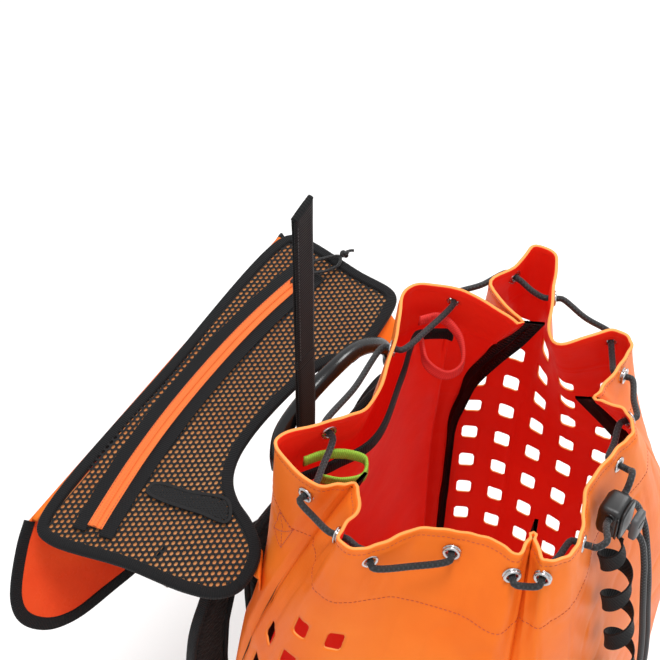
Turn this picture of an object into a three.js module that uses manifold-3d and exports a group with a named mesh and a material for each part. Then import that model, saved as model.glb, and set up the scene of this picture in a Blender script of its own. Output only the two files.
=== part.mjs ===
// Drawstring rope bag for canyoning and water rescue: a tarpaulin sack of four panels and a base,
// a gathered mouth with sixteen eyelets, a lid thrown open at the back, and its carrying straps.
// Millimetres. +Z is up, +X is the wearer's width, +Y is the back of the bag, which the wearer leans on.
// The origin is the middle of the base, on the ground.
import * as THREE from 'three';
import { mergeVertices } from 'three/addons/utils/BufferGeometryUtils.js';
import Module from 'manifold-3d';

// ---------------------------------------------------------------- driving dimensions
const RIM_HEIGHT = 600;
const FLARE_DEPTH = 300; // below the rim, where the gathered mouth has become the full body
const BODY_WIDTH = 390;
const BODY_DEPTH = 270;
const BODY_CORNER = 70;
const BODY_OFFSET_Y = 8; // the gathered mouth pulls forward of the body's middle
const SIDE_NARROWING = 28; // a side panel loses this at each of its seams between the mouth and the full body
const PANEL_THICKNESS = 2.4;
const BASE_THICKNESS = 4;
const GAP = 0.3; // running gap between neighbouring solids
const EYELET_COUNT = 16;
const EYELET_DROP = 16; // below the rim
const EYELET_RADIUS = 6.5;
const EYELET_BORE = 3.6;
const EYELET_LENGTH = 4.2;
const CORD_RADIUS = 2.5;
const SEAMS = [1.5, 5.5, 9.5, 13.5]; // eyelet positions at which the four panels meet

// The rim from above: [eyelet position, x, y]. Whole numbers are eyelets, halves are folds and lobes.
const RIM = [
  [1, -134, 70], [1.5, -119, 46], [1.75, -133, 32], [2, -147, 33], [2.35, -163, 30], [2.65, -164, 16],
  [3, -153, 5], [3.5, -127, -11], [4, -114, -36], [4.5, -107, -58], [5, -108, -78], [5.5, -88, -78],
  [6, -103, -93], [6.5, -90, -106], [7, -66, -104], [7.5, -32, -91], [8, 10, -93], [8.5, 34, -95],
  [9, 50, -80], [9.5, 50, -59], [10, 86, -60], [10.5, 115, -57], [11, 120, -36], [11.5, 84, -6],
  [12, 137, 20], [12.35, 172, 37], [12.65, 173, 58], [13, 143, 59], [13.25, 113, 66], [13.5, 88, 26],
  [13.75, 93, 57], [14, 95, 84], [14.5, 73, 119], [15, 20, 98], [15.5, -46, 77], [16, -78, 92],
  [16.5, -115, 115],
];

// The lid, drawn in its own plane with x along the hinge and y from the hinge to its front edge.
const LID_ORIGIN = [-24, 158, 492.5];
const LID_TILT = 7.35; // degrees: the open lid sags to the left
const LID_HALF_WIDTH = 170;
const LID_LENGTH = 128;
const LID_OUTLINE = [
  [-141, -38], [-153, -28], [-161, -6], [-169, 48], [-183, 112], [-178, LID_LENGTH - 4], [0, LID_LENGTH + 3],
  [168, LID_LENGTH], [174, 118], [166, 50], [160, 12], [150, 6], [82, 6], [78, 16], [60, 27], [30, 33],
  [-20, 36], [-50, 32], [-70, 22], [-84, 6], [-94, -14], [-108, -32], [-122, -38],
];
const LID_THICKNESS = 2;
const MESH_THICKNESS = 1.4;
const MESH_LIFT = 3;
const ZIP_ARC_RADIUS = 815;
const ZIP_MID_Y = 102;
const ZIP_WIDTH = 13;
const ZIP_LEFT_ANGLE = 11.2; // degrees
const ZIP_RIGHT_ANGLE = 10.2;
const APRON_LENGTH = 126;
const APRON_LEAN = 18; // degrees inwards from hanging straight

const FABRIC = { colour: 0xf07d32, roughness: 0.5, metalness: 0 };
const LINING = { colour: 0xd81c16, roughness: 0.5, metalness: 0 };
const WEBBING = { colour: 0x19191b, roughness: 0.75, metalness: 0 };
const NET = { colour: 0x1c1c1e, roughness: 0.8, metalness: 0 };
const CORD = { colour: 0x2b3034, roughness: 0.55, metalness: 0 };
const PLASTIC = { colour: 0x1b1c1e, roughness: 0.4, metalness: 0 };
const GREY_PLASTIC = { colour: 0x6d7073, roughness: 0.45, metalness: 0 };
const STEEL = { colour: 0xb9bcc0, roughness: 0.25, metalness: 1 };
const TAPE = { colour: 0xf59a4c, roughness: 0.7, metalness: 0 };
const RED_LOOP = { colour: 0xc9332f, roughness: 0.75, metalness: 0 };
const GREEN_LOOP = { colour: 0x7fae3a, roughness: 0.75, metalness: 0 };
const FOAM = { colour: 0x232325, roughness: 0.85, metalness: 0 };

const wasm = await Module();
wasm.setup();
const bag = new THREE.Group();

// ---------------------------------------------------------------- small helpers
function piece(name, geometry, look, parent = bag) {
  const material = new THREE.MeshStandardMaterial({
    color: look.colour, roughness: look.roughness, metalness: look.metalness,
  });
  const mesh = new THREE.Mesh(geometry, material);
  mesh.name = name;
  parent.add(mesh);
  return mesh;
}

// A closed skin between two grids of points: outer(i, j) and inner(i, j), i along, j up.
function shell(columns, rows, outer, inner) {
  const positions = [];
  const index = [];
  const put = (grid) => {
    for (let j = 0; j < rows; j++) {
      for (let i = 0; i < columns; i++) positions.push(...grid(i, j));
    }
  };
  put(outer);
  put(inner);
  const at = (side, i, j) => side * columns * rows + j * columns + i;
  const quad = (a, b, c, d) => index.push(a, b, c, a, c, d);
  for (let j = 0; j < rows - 1; j++) {
    for (let i = 0; i < columns - 1; i++) {
      quad(at(0, i, j), at(0, i + 1, j), at(0, i + 1, j + 1), at(0, i, j + 1));
      quad(at(1, i, j), at(1, i, j + 1), at(1, i + 1, j + 1), at(1, i + 1, j));
    }
  }
  for (let i = 0; i < columns - 1; i++) {
    quad(at(0, i, 0), at(1, i, 0), at(1, i + 1, 0), at(0, i + 1, 0));
    quad(at(0, i, rows - 1), at(0, i + 1, rows - 1), at(1, i + 1, rows - 1), at(1, i, rows - 1));
  }
  for (let j = 0; j < rows - 1; j++) {
    quad(at(0, 0, j), at(0, 0, j + 1), at(1, 0, j + 1), at(1, 0, j));
    quad(at(0, columns - 1, j), at(1, columns - 1, j), at(1, columns - 1, j + 1), at(0, columns - 1, j + 1));
  }
  // whichever way the grids run, the faces end up pointing outwards
  const corners = index.map((k) => new THREE.Vector3().fromArray(positions, 3 * k));
  let volume = 0;
  for (let k = 0; k < corners.length; k += 3) volume += corners[k].dot(corners[k + 1].clone().cross(corners[k + 2]));
  const geometry = new THREE.BufferGeometry();
  geometry.setAttribute('position', new THREE.Float32BufferAttribute(positions, 3));
  geometry.setIndex(volume > 0 ? index : index.toReversed());
  return geometry;
}

// A flat band along a route: width lies along across, thickness along the third direction.
function band(route, across, width, thickness, steps) {
  const curve = new THREE.CatmullRomCurve3(route.map((p) => new THREE.Vector3(...p)));
  const wide = new THREE.Vector3(...across).normalize();
  const corner = (i, side, lift) => {
    const t = i / steps;
    const point = curve.getPointAt(t);
    const tangent = curve.getTangentAt(t);
    const w = wide.clone().addScaledVector(tangent, -wide.dot(tangent)).normalize();
    const n = new THREE.Vector3().crossVectors(tangent, w);
    return point.addScaledVector(w, side * width / 2).addScaledVector(n, lift * thickness / 2).toArray();
  };
  return shell(
    2, steps + 1,
    (i, j) => corner(j, i === 0 ? 1 : -1, 1),
    (i, j) => corner(j, i === 0 ? 1 : -1, -1),
  );
}

function tube(route, radius, sides, steps, closed = false) {
  const circle = new THREE.Shape();
  circle.absarc(0, 0, radius, 0, Math.PI * 2);
  const curve = new THREE.CatmullRomCurve3(route.map((p) => new THREE.Vector3(...p)), closed, 'centripetal');
  return new THREE.ExtrudeGeometry(circle, {
    curveSegments: sides / 2, steps, extrudePath: curve, bevelEnabled: false,
  });
}

function block(size, radius, depthAxis = 'z') {
  const [w, h, d] = size;
  const shape = new THREE.Shape();
  shape.moveTo(-w / 2 + radius, -h / 2);
  shape.lineTo(w / 2 - radius, -h / 2);
  shape.quadraticCurveTo(w / 2, -h / 2, w / 2, -h / 2 + radius);
  shape.lineTo(w / 2, h / 2 - radius);
  shape.quadraticCurveTo(w / 2, h / 2, w / 2 - radius, h / 2);
  shape.lineTo(-w / 2 + radius, h / 2);
  shape.quadraticCurveTo(-w / 2, h / 2, -w / 2, h / 2 - radius);
  shape.lineTo(-w / 2, -h / 2 + radius);
  shape.quadraticCurveTo(-w / 2, -h / 2, -w / 2 + radius, -h / 2);
  const geometry = new THREE.ExtrudeGeometry(shape, { depth: d, bevelEnabled: false, curveSegments: 4 });
  geometry.translate(0, 0, -d / 2);
  if (depthAxis === 'y') geometry.rotateX(Math.PI / 2);
  if (depthAxis === 'x') geometry.rotateY(Math.PI / 2);
  return geometry;
}

function toManifold(geometry) {
  const bare = geometry.index ? geometry.clone() : geometry;
  bare.deleteAttribute('normal');
  bare.deleteAttribute('uv');
  const merged = mergeVertices(bare, 1e-4);
  return new wasm.Manifold(new wasm.Mesh({
    numProp: 3,
    vertProperties: new Float32Array(merged.attributes.position.array),
    triVerts: new Uint32Array(merged.index.array),
  }));
}

function fromManifold(solid) {
  const mesh = solid.getMesh();
  const geometry = new THREE.BufferGeometry();
  geometry.setAttribute('position', new THREE.BufferAttribute(mesh.vertProperties, 3));
  geometry.setIndex(new THREE.BufferAttribute(mesh.triVerts, 1));
  return geometry;
}

// One closed body out of two that run into each other.
function join(a, b) {
  return fromManifold(toManifold(a).add(toManifold(b)));
}

// ---------------------------------------------------------------- the sack's outer surface
function rimPoint(u) {
  const n = RIM.length;
  const knot = (k) => {
    const [at, x, y] = RIM[((k % n) + n) % n];
    return [at + Math.floor(k / n) * EYELET_COUNT, x, y];
  };
  let k = 0;
  while (knot(k + 1)[0] <= u) k++;
  while (knot(k)[0] > u) k--;
  const [p0, p1, p2, p3] = [knot(k - 1), knot(k), knot(k + 1), knot(k + 2)];
  const h = p2[0] - p1[0];
  const t = (u - p1[0]) / h;
  return [1, 2].map((c) => {
    const m1 = ((p2[c] - p0[c]) / (p2[0] - p0[0])) * h;
    const m2 = ((p3[c] - p1[c]) / (p3[0] - p1[0])) * h;
    const t2 = t * t;
    const t3 = t2 * t;
    return (2 * t3 - 3 * t2 + 1) * p1[c] + (t3 - 2 * t2 + t) * m1
      + (3 * t2 - 2 * t3) * p2[c] + (t3 - t2) * m2;
  });
}

// The full body is a rounded rectangle. Side seams sit in its corners, one panel to each side.
const straightX = BODY_WIDTH - 2 * BODY_CORNER;
const straightY = BODY_DEPTH - 2 * BODY_CORNER;
const arc = BODY_CORNER * Math.PI / 2;
const perimeter = 2 * (straightX + straightY) + 4 * arc;
function bodyPoint(u) {
  // distance round the outline, from the middle of the left side, towards the front
  const phase = (((u - SEAMS[0]) % 8) + 8) % 8;
  const creep = SIDE_NARROWING * (Math.abs(phase - 4) / 2 - 1);
  let s = ((((u - 3.5) / EYELET_COUNT + creep / perimeter) % 1) + 1) % 1 * perimeter;
  const legs = [straightY / 2, straightX, straightY, straightX, straightY / 2];
  const centres = [[-1, -1], [1, -1], [1, 1], [-1, 1]];
  const starts = [[-BODY_WIDTH / 2, 0], [-straightX / 2, -BODY_DEPTH / 2], [BODY_WIDTH / 2, -straightY / 2],
    [straightX / 2, BODY_DEPTH / 2], [-BODY_WIDTH / 2, straightY / 2]];
  const ways = [[0, -1], [1, 0], [0, 1], [-1, 0], [0, -1]];
  for (let leg = 0; leg < 5; leg++) {
    if (s <= legs[leg] || leg === 4) {
      return [starts[leg][0] + ways[leg][0] * s, starts[leg][1] + ways[leg][1] * s + BODY_OFFSET_Y];
    }
    s -= legs[leg];
    if (s <= arc) {
      const angle = Math.PI + leg * Math.PI / 2 + s / BODY_CORNER;
      return [centres[leg][0] * straightX / 2 + BODY_CORNER * Math.cos(angle),
        centres[leg][1] * straightY / 2 + BODY_CORNER * Math.sin(angle) + BODY_OFFSET_Y];
    }
    s -= arc;
  }
  return [0, 0];
}

function wallPoint(u, z) {
  const blend = Math.sin(Math.PI / 2 * Math.min(1, (RIM_HEIGHT - z) / FLARE_DEPTH));
  const top = rimPoint(u);
  const low = bodyPoint(u);
  return [top[0] + (low[0] - top[0]) * blend, top[1] + (low[1] - top[1]) * blend, z];
}

function wallNormal(u, z) {
  const a = wallPoint(u - 0.02, z);
  const b = wallPoint(u + 0.02, z);
  const length = Math.hypot(b[0] - a[0], b[1] - a[1]);
  return [(b[1] - a[1]) / length, -(b[0] - a[0]) / length, 0];
}

function offWall(u, z, distance) {
  const p = wallPoint(u, z);
  const n = wallNormal(u, z);
  return [p[0] + n[0] * distance, p[1] + n[1] * distance, z];
}

// ---------------------------------------------------------------- panels, base and seams
const PANEL_LEVELS = [BASE_THICKNESS + GAP, 150, 300, 400, 460, 510, 550, 578, 600];
const PANEL_COLUMNS = 21;
const SEAM_GAP = 0.004; // in eyelet positions

function eyeletPlace(i) {
  const z = RIM_HEIGHT - EYELET_DROP;
  const centre = offWall(i, z, -PANEL_THICKNESS / 2);
  const n = wallNormal(i, z);
  return { centre: new THREE.Vector3(...centre), normal: new THREE.Vector3(...n) };
}

function alongNormal(geometry, place) {
  const turn = new THREE.Quaternion().setFromUnitVectors(new THREE.Vector3(0, 1, 0), place.normal);
  geometry.applyQuaternion(turn);
  geometry.translate(place.centre.x, place.centre.y, place.centre.z);
  return geometry;
}

function panel(name, from, to) {
  const columns = PANEL_COLUMNS;
  const u = (i) => from + SEAM_GAP + (to - from - 2 * SEAM_GAP) * i / (columns - 1);
  const skin = shell(
    columns, PANEL_LEVELS.length,
    (i, j) => wallPoint(u(i), PANEL_LEVELS[j]),
    (i, j) => offWall(u(i), PANEL_LEVELS[j], -PANEL_THICKNESS),
  );
  let solid = toManifold(skin);
  for (let e = Math.ceil(from); e < to; e++) {
    const punch = new THREE.CylinderGeometry(EYELET_RADIUS + GAP, EYELET_RADIUS + GAP, 14, 14);
    solid = solid.subtract(toManifold(alongNormal(punch, eyeletPlace(e))));
  }
  piece(name, fromManifold(solid), FABRIC);
}
panel('side_panel_left', SEAMS[0], SEAMS[1]);
panel('front_panel', SEAMS[1], SEAMS[2]);
panel('side_panel_right', SEAMS[2], SEAMS[3]);
panel('back_panel', SEAMS[3], SEAMS[0] + EYELET_COUNT);

const baseShape = new THREE.Shape();
const BASE_POINTS = 48;
for (let k = 0; k < BASE_POINTS; k++) {
  const [x, y] = bodyPoint(k * EYELET_COUNT / BASE_POINTS);
  if (k === 0) baseShape.moveTo(x, y);
  else baseShape.lineTo(x, y);
}
baseShape.closePath();
piece('base_panel', new THREE.ExtrudeGeometry(baseShape, { depth: BASE_THICKNESS, bevelEnabled: false }), FABRIC);

// Bound seam allowances stand inwards from each corner seam.
const SEAM_FIN = 11;
const SEAM_FIN_THICKNESS = 3;
['back_left', 'front_left', 'front_right', 'back_right'].forEach((corner, k) => {
  const levels = [14, 150, 300, 400, 460, 510, 550, 592];
  const route = (side, depth) => (z) => {
    const p = offWall(SEAMS[k], z, -PANEL_THICKNESS - GAP - 1.2 - depth);
    const n = wallNormal(SEAMS[k], z);
    return [p[0] - n[1] * side, p[1] + n[0] * side, z];
  };
  const half = SEAM_FIN_THICKNESS / 2;
  piece(`seam_binding_${corner}`, shell(
    2, levels.length,
    (i, j) => route(half, i === 0 ? SEAM_FIN : 0)(levels[j]),
    (i, j) => route(-half, i === 0 ? SEAM_FIN : 0)(levels[j]),
  ), WEBBING);
});

// The divider hangs inside the back panel and makes a sleeve with it.
const DIVIDER_TOP = 548;
const DIVIDER_OFFSET = 16;
const DIVIDER_THICKNESS = 1.6;
const dividerLevels = [BASE_THICKNESS + 2, 150, 300, 400, 460, 510, DIVIDER_TOP];
const dividerSpan = (i, columns) => 13.85 + 3.3 * i / (columns - 1);
function dividerPoint(u, z, extra) {
  return offWall(u, z, -DIVIDER_OFFSET - extra);
}
piece('divider_panel', shell(
  15, dividerLevels.length,
  (i, j) => dividerPoint(dividerSpan(i, 15), dividerLevels[j], 0),
  (i, j) => dividerPoint(dividerSpan(i, 15), dividerLevels[j], DIVIDER_THICKNESS),
), LINING);
piece('divider_binding', shell(
  15, 2,
  (i, j) => dividerPoint(dividerSpan(i, 15), DIVIDER_TOP + GAP + 7 * j, -1),
  (i, j) => dividerPoint(dividerSpan(i, 15), DIVIDER_TOP + GAP + 7 * j, DIVIDER_THICKNESS + 1),
), WEBBING);

// ---------------------------------------------------------------- eyelets and drawstring
for (let e = 1; e <= EYELET_COUNT; e++) {
  const half = EYELET_LENGTH / 2;
  const profile = [
    [EYELET_BORE, 0], [EYELET_BORE + 0.8, -half], [EYELET_RADIUS - 0.7, -half], [EYELET_RADIUS, 0],
    [EYELET_RADIUS - 0.7, half], [EYELET_BORE + 0.8, half], [EYELET_BORE, 0],
  ].map(([x, y]) => new THREE.Vector2(x, y));
  const ring = new THREE.LatheGeometry(profile, 14);
  piece(`eyelet_${String(e).padStart(2, '0')}`, alongNormal(ring, eyeletPlace(e)), STEEL);
}

// The drawstring goes out through odd gaps and in through even ones, from eyelet 7 round to eyelet 8.
const CORD_CLEARANCE = 7;
const cordRoute = [];
for (let step = 0; step < EYELET_COUNT; step++) {
  const e = ((7 - step - 1 + EYELET_COUNT) % EYELET_COUNT) + 1;
  const { centre, normal } = eyeletPlace(e);
  const inward = step % 2 === 0; // the cord crosses inwards at eyelet 7, outwards at 6, and so on
  const offsets = inward ? [CORD_CLEARANCE, 2.6, -2.6, -CORD_CLEARANCE] : [-CORD_CLEARANCE, -2.6, 2.6, CORD_CLEARANCE];
  offsets.forEach((d) => cordRoute.push(centre.clone().addScaledVector(normal, d).toArray()));
}
piece('drawstring', tube(cordRoute, CORD_RADIUS, 8, 150), CORD);

// ---------------------------------------------------------------- cord lock, its cords and the coiled tape
const LOCK_CENTRE = [-21, -110, 574];
const LOCK_SIZE = [24, 18, 28];
const lockBody = block([LOCK_SIZE[0], LOCK_SIZE[2], LOCK_SIZE[1]], 5, 'y');
piece('cord_lock_body', lockBody, PLASTIC).position.set(...LOCK_CENTRE);
const BUTTON_DEPTH = 8;
const BUTTON_TRAVEL = 3;
const button = block([16, 22, BUTTON_DEPTH], 3, 'y');
piece('cord_lock_button', button, GREY_PLASTIC).position.set(
  LOCK_CENTRE[0], LOCK_CENTRE[1] - LOCK_SIZE[1] / 2 - BUTTON_TRAVEL - GAP - BUTTON_DEPTH / 2, LOCK_CENTRE[2],
);
const lockLeft = LOCK_CENTRE[0] - LOCK_SIZE[0] / 2 - GAP;
const lockRight = LOCK_CENTRE[0] + LOCK_SIZE[0] / 2 + GAP;
const fromEyelet = (e, distance) => {
  const { centre, normal } = eyeletPlace(e);
  return centre.clone().addScaledVector(normal, distance).toArray();
};
const LEAD_START = [CORD_CLEARANCE + GAP, CORD_CLEARANCE + 3];
piece('drawstring_lead_left', tube(
  [...LEAD_START.map((d) => fromEyelet(7, d)), [-56, -119, 587], [-46, -114, 586], [lockLeft - 4, -111, 581],
    [lockLeft, -111, 581]], CORD_RADIUS, 8, 12,
), CORD);
piece('drawstring_lead_right', tube(
  [...LEAD_START.map((d) => fromEyelet(8, d)), [8, -108, 589], [0, -110, 587], [lockRight + 4, -110, 582],
    [lockRight, -110, 582]], CORD_RADIUS, 8, 12,
), CORD);
const TAIL_LEFT = [[lockRight, -112, 571], [lockRight + 4, -112, 571], [4, -117, 563], [8, -125, 542],
  [8, -132, 515], [8, -138, 485], [9, -142, 455], [12, -147, 415], [14, -150, 380], [15, -151, 345], [15, -151, 322]];
const TAIL_RIGHT = [[-11.5, -113, 559.7], [-11.5, -113, 556], [-6, -119, 548], [-2, -128, 536], [-1, -134, 512],
  [-1, -138, 485], [0, -142, 455], [2, -147, 415], [3, -150, 380], [3, -151, 345], [3, -151, 326]];
[['left', TAIL_LEFT], ['right', TAIL_RIGHT]].forEach(([side, route]) => {
  const [x, y, z] = route[route.length - 1];
  const knot = new THREE.SphereGeometry(6.5, 10, 8);
  knot.scale(0.9, 0.9, 1.15);
  knot.translate(x, y, z - 5);
  piece(`cord_tail_${side}`, join(tube(route, CORD_RADIUS, 8, 24), knot), CORD);
});
const COIL_RADIUS = 11.5;
const tapeAnchor = block([14, 22, 16], 2);
tapeAnchor.translate(-27, -138.9, 342);
piece('coiled_tape', join(tube(
  [[-27, -116, 557], [-27, -121, 527], [-27, -130, 480], [-27, -139, 433], [-27, -143, 390], [-27, -144, 350]],
  COIL_RADIUS, 10, 10,
), tapeAnchor), WEBBING);

// ---------------------------------------------------------------- loops inside the mouth
piece('red_gear_loop', band(
  [[67, 103, 576], [82, 92, 573], [84, 74, 558], [72, 64, 542], [58, 70, 540], [50, 84, 552], [57, 96, 570]],
  [0, 0, 1], 9, 4, 16,
), RED_LOOP);
piece('green_gear_loop', band(
  [[-104, 98, 576], [-90, 91, 574], [-74, 79, 567], [-68, 67, 561], [-80, 61, 560], [-96, 69, 564], [-107, 84, 570]],
  [0, 0, 1], 9, 3, 16,
), GREEN_LOOP);

// ---------------------------------------------------------------- back: pad, haul handle, haul strap, shoulder straps
const PAD_FRONT_Y = 144;
const padShape = block([230, 400, 13], 24, 'y');
piece('back_pad', padShape, FOAM).position.set(0, PAD_FRONT_Y + 6.5, 258);
piece('haul_handle', tube(
  [[84, 139.5, 492], [84, 141, 505], [70, 144, 523], [42, 146, 540], [8, 146, 547], [-24, 150, 540], [-50, 155, 522],
    [-62, 154, 505], [-64, 152, 492]], 7, 8, 24,
), WEBBING);
const STRAP_Y = 140;
const STRAP_X = -40;
const STRAP_FOLD_Z = 606;
const STRAP_TOP_Z = 755;
piece('haul_strap_base', new THREE.BoxGeometry(22, 4.6, STRAP_FOLD_Z - 3 - 440), WEBBING)
  .position.set(STRAP_X, STRAP_Y, (STRAP_FOLD_Z - 3 + 440) / 2);
piece('haul_strap_end', new THREE.BoxGeometry(22, 4.6, STRAP_TOP_Z - STRAP_FOLD_Z - 3), WEBBING)
  .position.set(STRAP_X, STRAP_Y, (STRAP_TOP_Z + STRAP_FOLD_Z + 3) / 2);
[['left', -1], ['right', 1]].forEach(([side, s]) => {
  piece(`shoulder_strap_${side}`, band(
    [[s * 72, 164.5, 402], [s * 96, 166, 406], [s * 118, 168, 400], [s * 136, 168, 378], [s * 146, 170, 344],
      [s * 148, 172, 294], [s * 147, 170, 240], [s * 143, 166, 190]], [s * 0.5, 0, 0.85], 42, 9, 20,
  ), FOAM);
  piece(`ladder_lock_${side}`, block([34, 22, 6], 3, 'y'), PLASTIC).position.set(s * 142, 167, 174);
  piece(`lower_strap_${side}`, band(
    [[s * 142, 166, 161], [s * 146, 160, 120], [s * 152, 154, 80], [s * 158, 150, 48]], [1, 0, 0], 20, 2.4, 8,
  ), WEBBING);
});

// ---------------------------------------------------------------- the lid
const lid = new THREE.Group();
lid.position.set(...LID_ORIGIN);
lid.rotation.y = -THREE.MathUtils.degToRad(LID_TILT);
bag.add(lid);

// Moves every corner of an outline outwards, by the mean of its two sides' normals.
function grow(outline, distance) {
  const n = outline.length;
  return outline.map(([x, y], k) => {
    const [ax, ay] = outline[(k + n - 1) % n];
    const [bx, by] = outline[(k + 1) % n];
    const [dx, dy] = [bx - ax, by - ay];
    const length = Math.hypot(dx, dy);
    return [x - dy / length * distance, y + dx / length * distance];
  });
}
function plate(outline, thickness) {
  const shape = new THREE.Shape(outline.map(([x, y]) => new THREE.Vector2(x, y)));
  return new THREE.ExtrudeGeometry(shape, { depth: thickness, bevelEnabled: false });
}

// A binding tape folded over the edge of an outline.
const BINDING_WIDTH = 5.5;
function edging(outline, thickness) {
  const inner = plate(grow(outline, GAP), thickness + 2);
  inner.translate(0, 0, -1);
  return toManifold(plate(grow(outline, BINDING_WIDTH), thickness)).subtract(toManifold(inner));
}
piece('lid_panel', plate(LID_OUTLINE, LID_THICKNESS), FABRIC, lid);
piece('lid_mesh_pocket', plate(LID_OUTLINE, MESH_THICKNESS), NET, lid).position.z = MESH_LIFT;
piece('lid_binding', fromManifold(edging(LID_OUTLINE, MESH_LIFT + MESH_THICKNESS)), WEBBING, lid);

const zipCentreY = ZIP_MID_Y - ZIP_ARC_RADIUS;
const zipStart = THREE.MathUtils.degToRad(90 - ZIP_RIGHT_ANGLE);
const zipEnd = THREE.MathUtils.degToRad(90 + ZIP_LEFT_ANGLE);
const zipShape = new THREE.Shape();
zipShape.absarc(0, zipCentreY, ZIP_ARC_RADIUS + ZIP_WIDTH / 2, zipStart, zipEnd);
zipShape.absarc(0, zipCentreY, ZIP_ARC_RADIUS - ZIP_WIDTH / 2, zipEnd, zipStart, true);
const zipTape = new THREE.ExtrudeGeometry(zipShape, {
  depth: 1.6, bevelEnabled: false, curveSegments: 16,
});
const ZIP_Z = MESH_LIFT + MESH_THICKNESS + GAP;
piece('zip_tape', zipTape, TAPE, lid).position.z = ZIP_Z;

const sliderAngle = THREE.MathUtils.degToRad(90 - 9.4);
const slider = new THREE.Group();
slider.position.set(ZIP_ARC_RADIUS * Math.cos(sliderAngle), zipCentreY + ZIP_ARC_RADIUS * Math.sin(sliderAngle),
  ZIP_Z + 1.6 + GAP);
lid.add(slider);
piece('zip_slider', block([14, 9, 4], 3), PLASTIC, slider).position.z = 2;
const PULL_ROUTE = [[9.5, -2, 4], [18, -1, 4], [30, -8, 3.6], [40, -20, 3.6], [30, -24, 3.6], [14, -14, 3.6], [9.5, -6, 4]];
const pullKnot = new THREE.SphereGeometry(5, 10, 8);
pullKnot.translate(44, -22, 5.2);
piece('zip_pull', join(tube(PULL_ROUTE, 1.4, 6, 18), pullKnot), CORD, slider);

piece('lid_elastic_strip', plate([[-110, 72], [-111, 59], [-105, 23], [-101, -1], [-85, 10], [-93, 42], [-101, 71]], 1.2),
  WEBBING, lid).position.z = ZIP_Z;

// The front apron hangs from the lid's far edge.
const apron = new THREE.Group();
apron.position.set(0, LID_LENGTH + 3 + 9, -1);
apron.rotation.x = -THREE.MathUtils.degToRad(90 + APRON_LEAN);
lid.add(apron);
const APRON_OUTLINE = [
  [-176, 2], [-204, 12], [-232, 42], [-234, 62], [-220, 88], [-193, 108], [-152, 120], [-110, APRON_LENGTH],
  [0, APRON_LENGTH], [150, APRON_LENGTH - 2], [174, APRON_LENGTH - 12], [182, 70], [172, 2],
];
piece('lid_apron', plate(APRON_OUTLINE, LID_THICKNESS), FABRIC, apron);
const apronRoot = new THREE.BoxGeometry(500, 20, 20); // the binding stops short of the fold
piece('apron_binding', fromManifold(edging(APRON_OUTLINE, 2.4).subtract(toManifold(apronRoot))), WEBBING, apron);

// The closing hook hangs from a short tab under the lid.
const HOOK_X = -148;
const HOOK_Y = 30;
piece('hook_tab', new THREE.BoxGeometry(12, 2, 16), WEBBING, lid).position.set(HOOK_X, HOOK_Y, -GAP - 8);
const hookShape = new THREE.Shape();
[[-12, 0], [12, 0], [13, -3], [3.5, -32], [-3.5, -32], [-13, -3]].forEach(([x, y], k) => (
  k === 0 ? hookShape.moveTo(x, y) : hookShape.lineTo(x, y)));
hookShape.closePath();
const hookHole = new THREE.Path();
[[-8.6, -4], [-8.6, -5], [-1, -28], [1, -28], [8.6, -5], [8.6, -4]].forEach(([x, y], k) => (
  k === 0 ? hookHole.moveTo(x, y) : hookHole.lineTo(x, y)));
hookHole.closePath();
hookShape.holes.push(hookHole);
const hook = new THREE.ExtrudeGeometry(hookShape, { depth: 3, bevelEnabled: false });
hook.translate(0, 0, -1.5);
hook.rotateX(Math.PI / 2);
const hookMesh = piece('lid_hook', hook, STEEL, lid);
hookMesh.position.set(HOOK_X, HOOK_Y, -17.5);

export default bag;
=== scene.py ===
import math
import bpy
import numpy as np
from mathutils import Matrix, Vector


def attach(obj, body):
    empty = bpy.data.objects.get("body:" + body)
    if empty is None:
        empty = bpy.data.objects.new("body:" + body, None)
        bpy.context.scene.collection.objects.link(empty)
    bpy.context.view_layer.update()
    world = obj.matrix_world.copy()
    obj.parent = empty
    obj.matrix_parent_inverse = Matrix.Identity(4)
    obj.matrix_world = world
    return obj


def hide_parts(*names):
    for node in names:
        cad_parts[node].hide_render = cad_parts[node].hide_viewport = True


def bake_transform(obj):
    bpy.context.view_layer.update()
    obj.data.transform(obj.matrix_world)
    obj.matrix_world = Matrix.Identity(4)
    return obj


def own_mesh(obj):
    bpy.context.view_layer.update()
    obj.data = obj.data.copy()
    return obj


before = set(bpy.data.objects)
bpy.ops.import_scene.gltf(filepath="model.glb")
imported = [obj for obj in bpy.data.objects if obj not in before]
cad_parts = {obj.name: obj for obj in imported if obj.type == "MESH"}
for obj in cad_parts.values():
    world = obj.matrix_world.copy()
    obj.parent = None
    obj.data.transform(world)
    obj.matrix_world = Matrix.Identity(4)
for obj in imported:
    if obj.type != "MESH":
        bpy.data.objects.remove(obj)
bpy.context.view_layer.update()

MM = 0.001  # shapes are worked out in millimetres and become metres in mesh_object()

# ============================================================ camera
cam_data = bpy.data.cameras.new("camera")
cam = bpy.data.objects.new("camera", cam_data)
bpy.context.collection.objects.link(cam)
cam_data.sensor_width = 36
cam_data.lens = 78.0
cam.location = (-0.6487, -0.2855, 1.377)
cam.rotation_euler = (math.radians(45), 0, math.radians(-56.5))
bpy.context.scene.camera = cam


# ============================================================ curves and meshes
def unit(v):
    return v / np.maximum(np.linalg.norm(v, axis=-1, keepdims=True), 1e-12)


def distances(p):
    """How far along a path each of its points is."""
    return np.concatenate([[0], np.cumsum(np.linalg.norm(np.diff(p, axis=0), axis=1))])


def resample(want, run, p):
    """The points of a path p, known at run, for the wanted places."""
    return np.stack([np.interp(want, run, p[:, c]) for c in range(3)], 1)


def blend_points(t, ta, tb, pa, pb):
    return (tb - t) / (tb - ta) * pa + (t - ta) / (tb - ta) * pb


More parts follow.
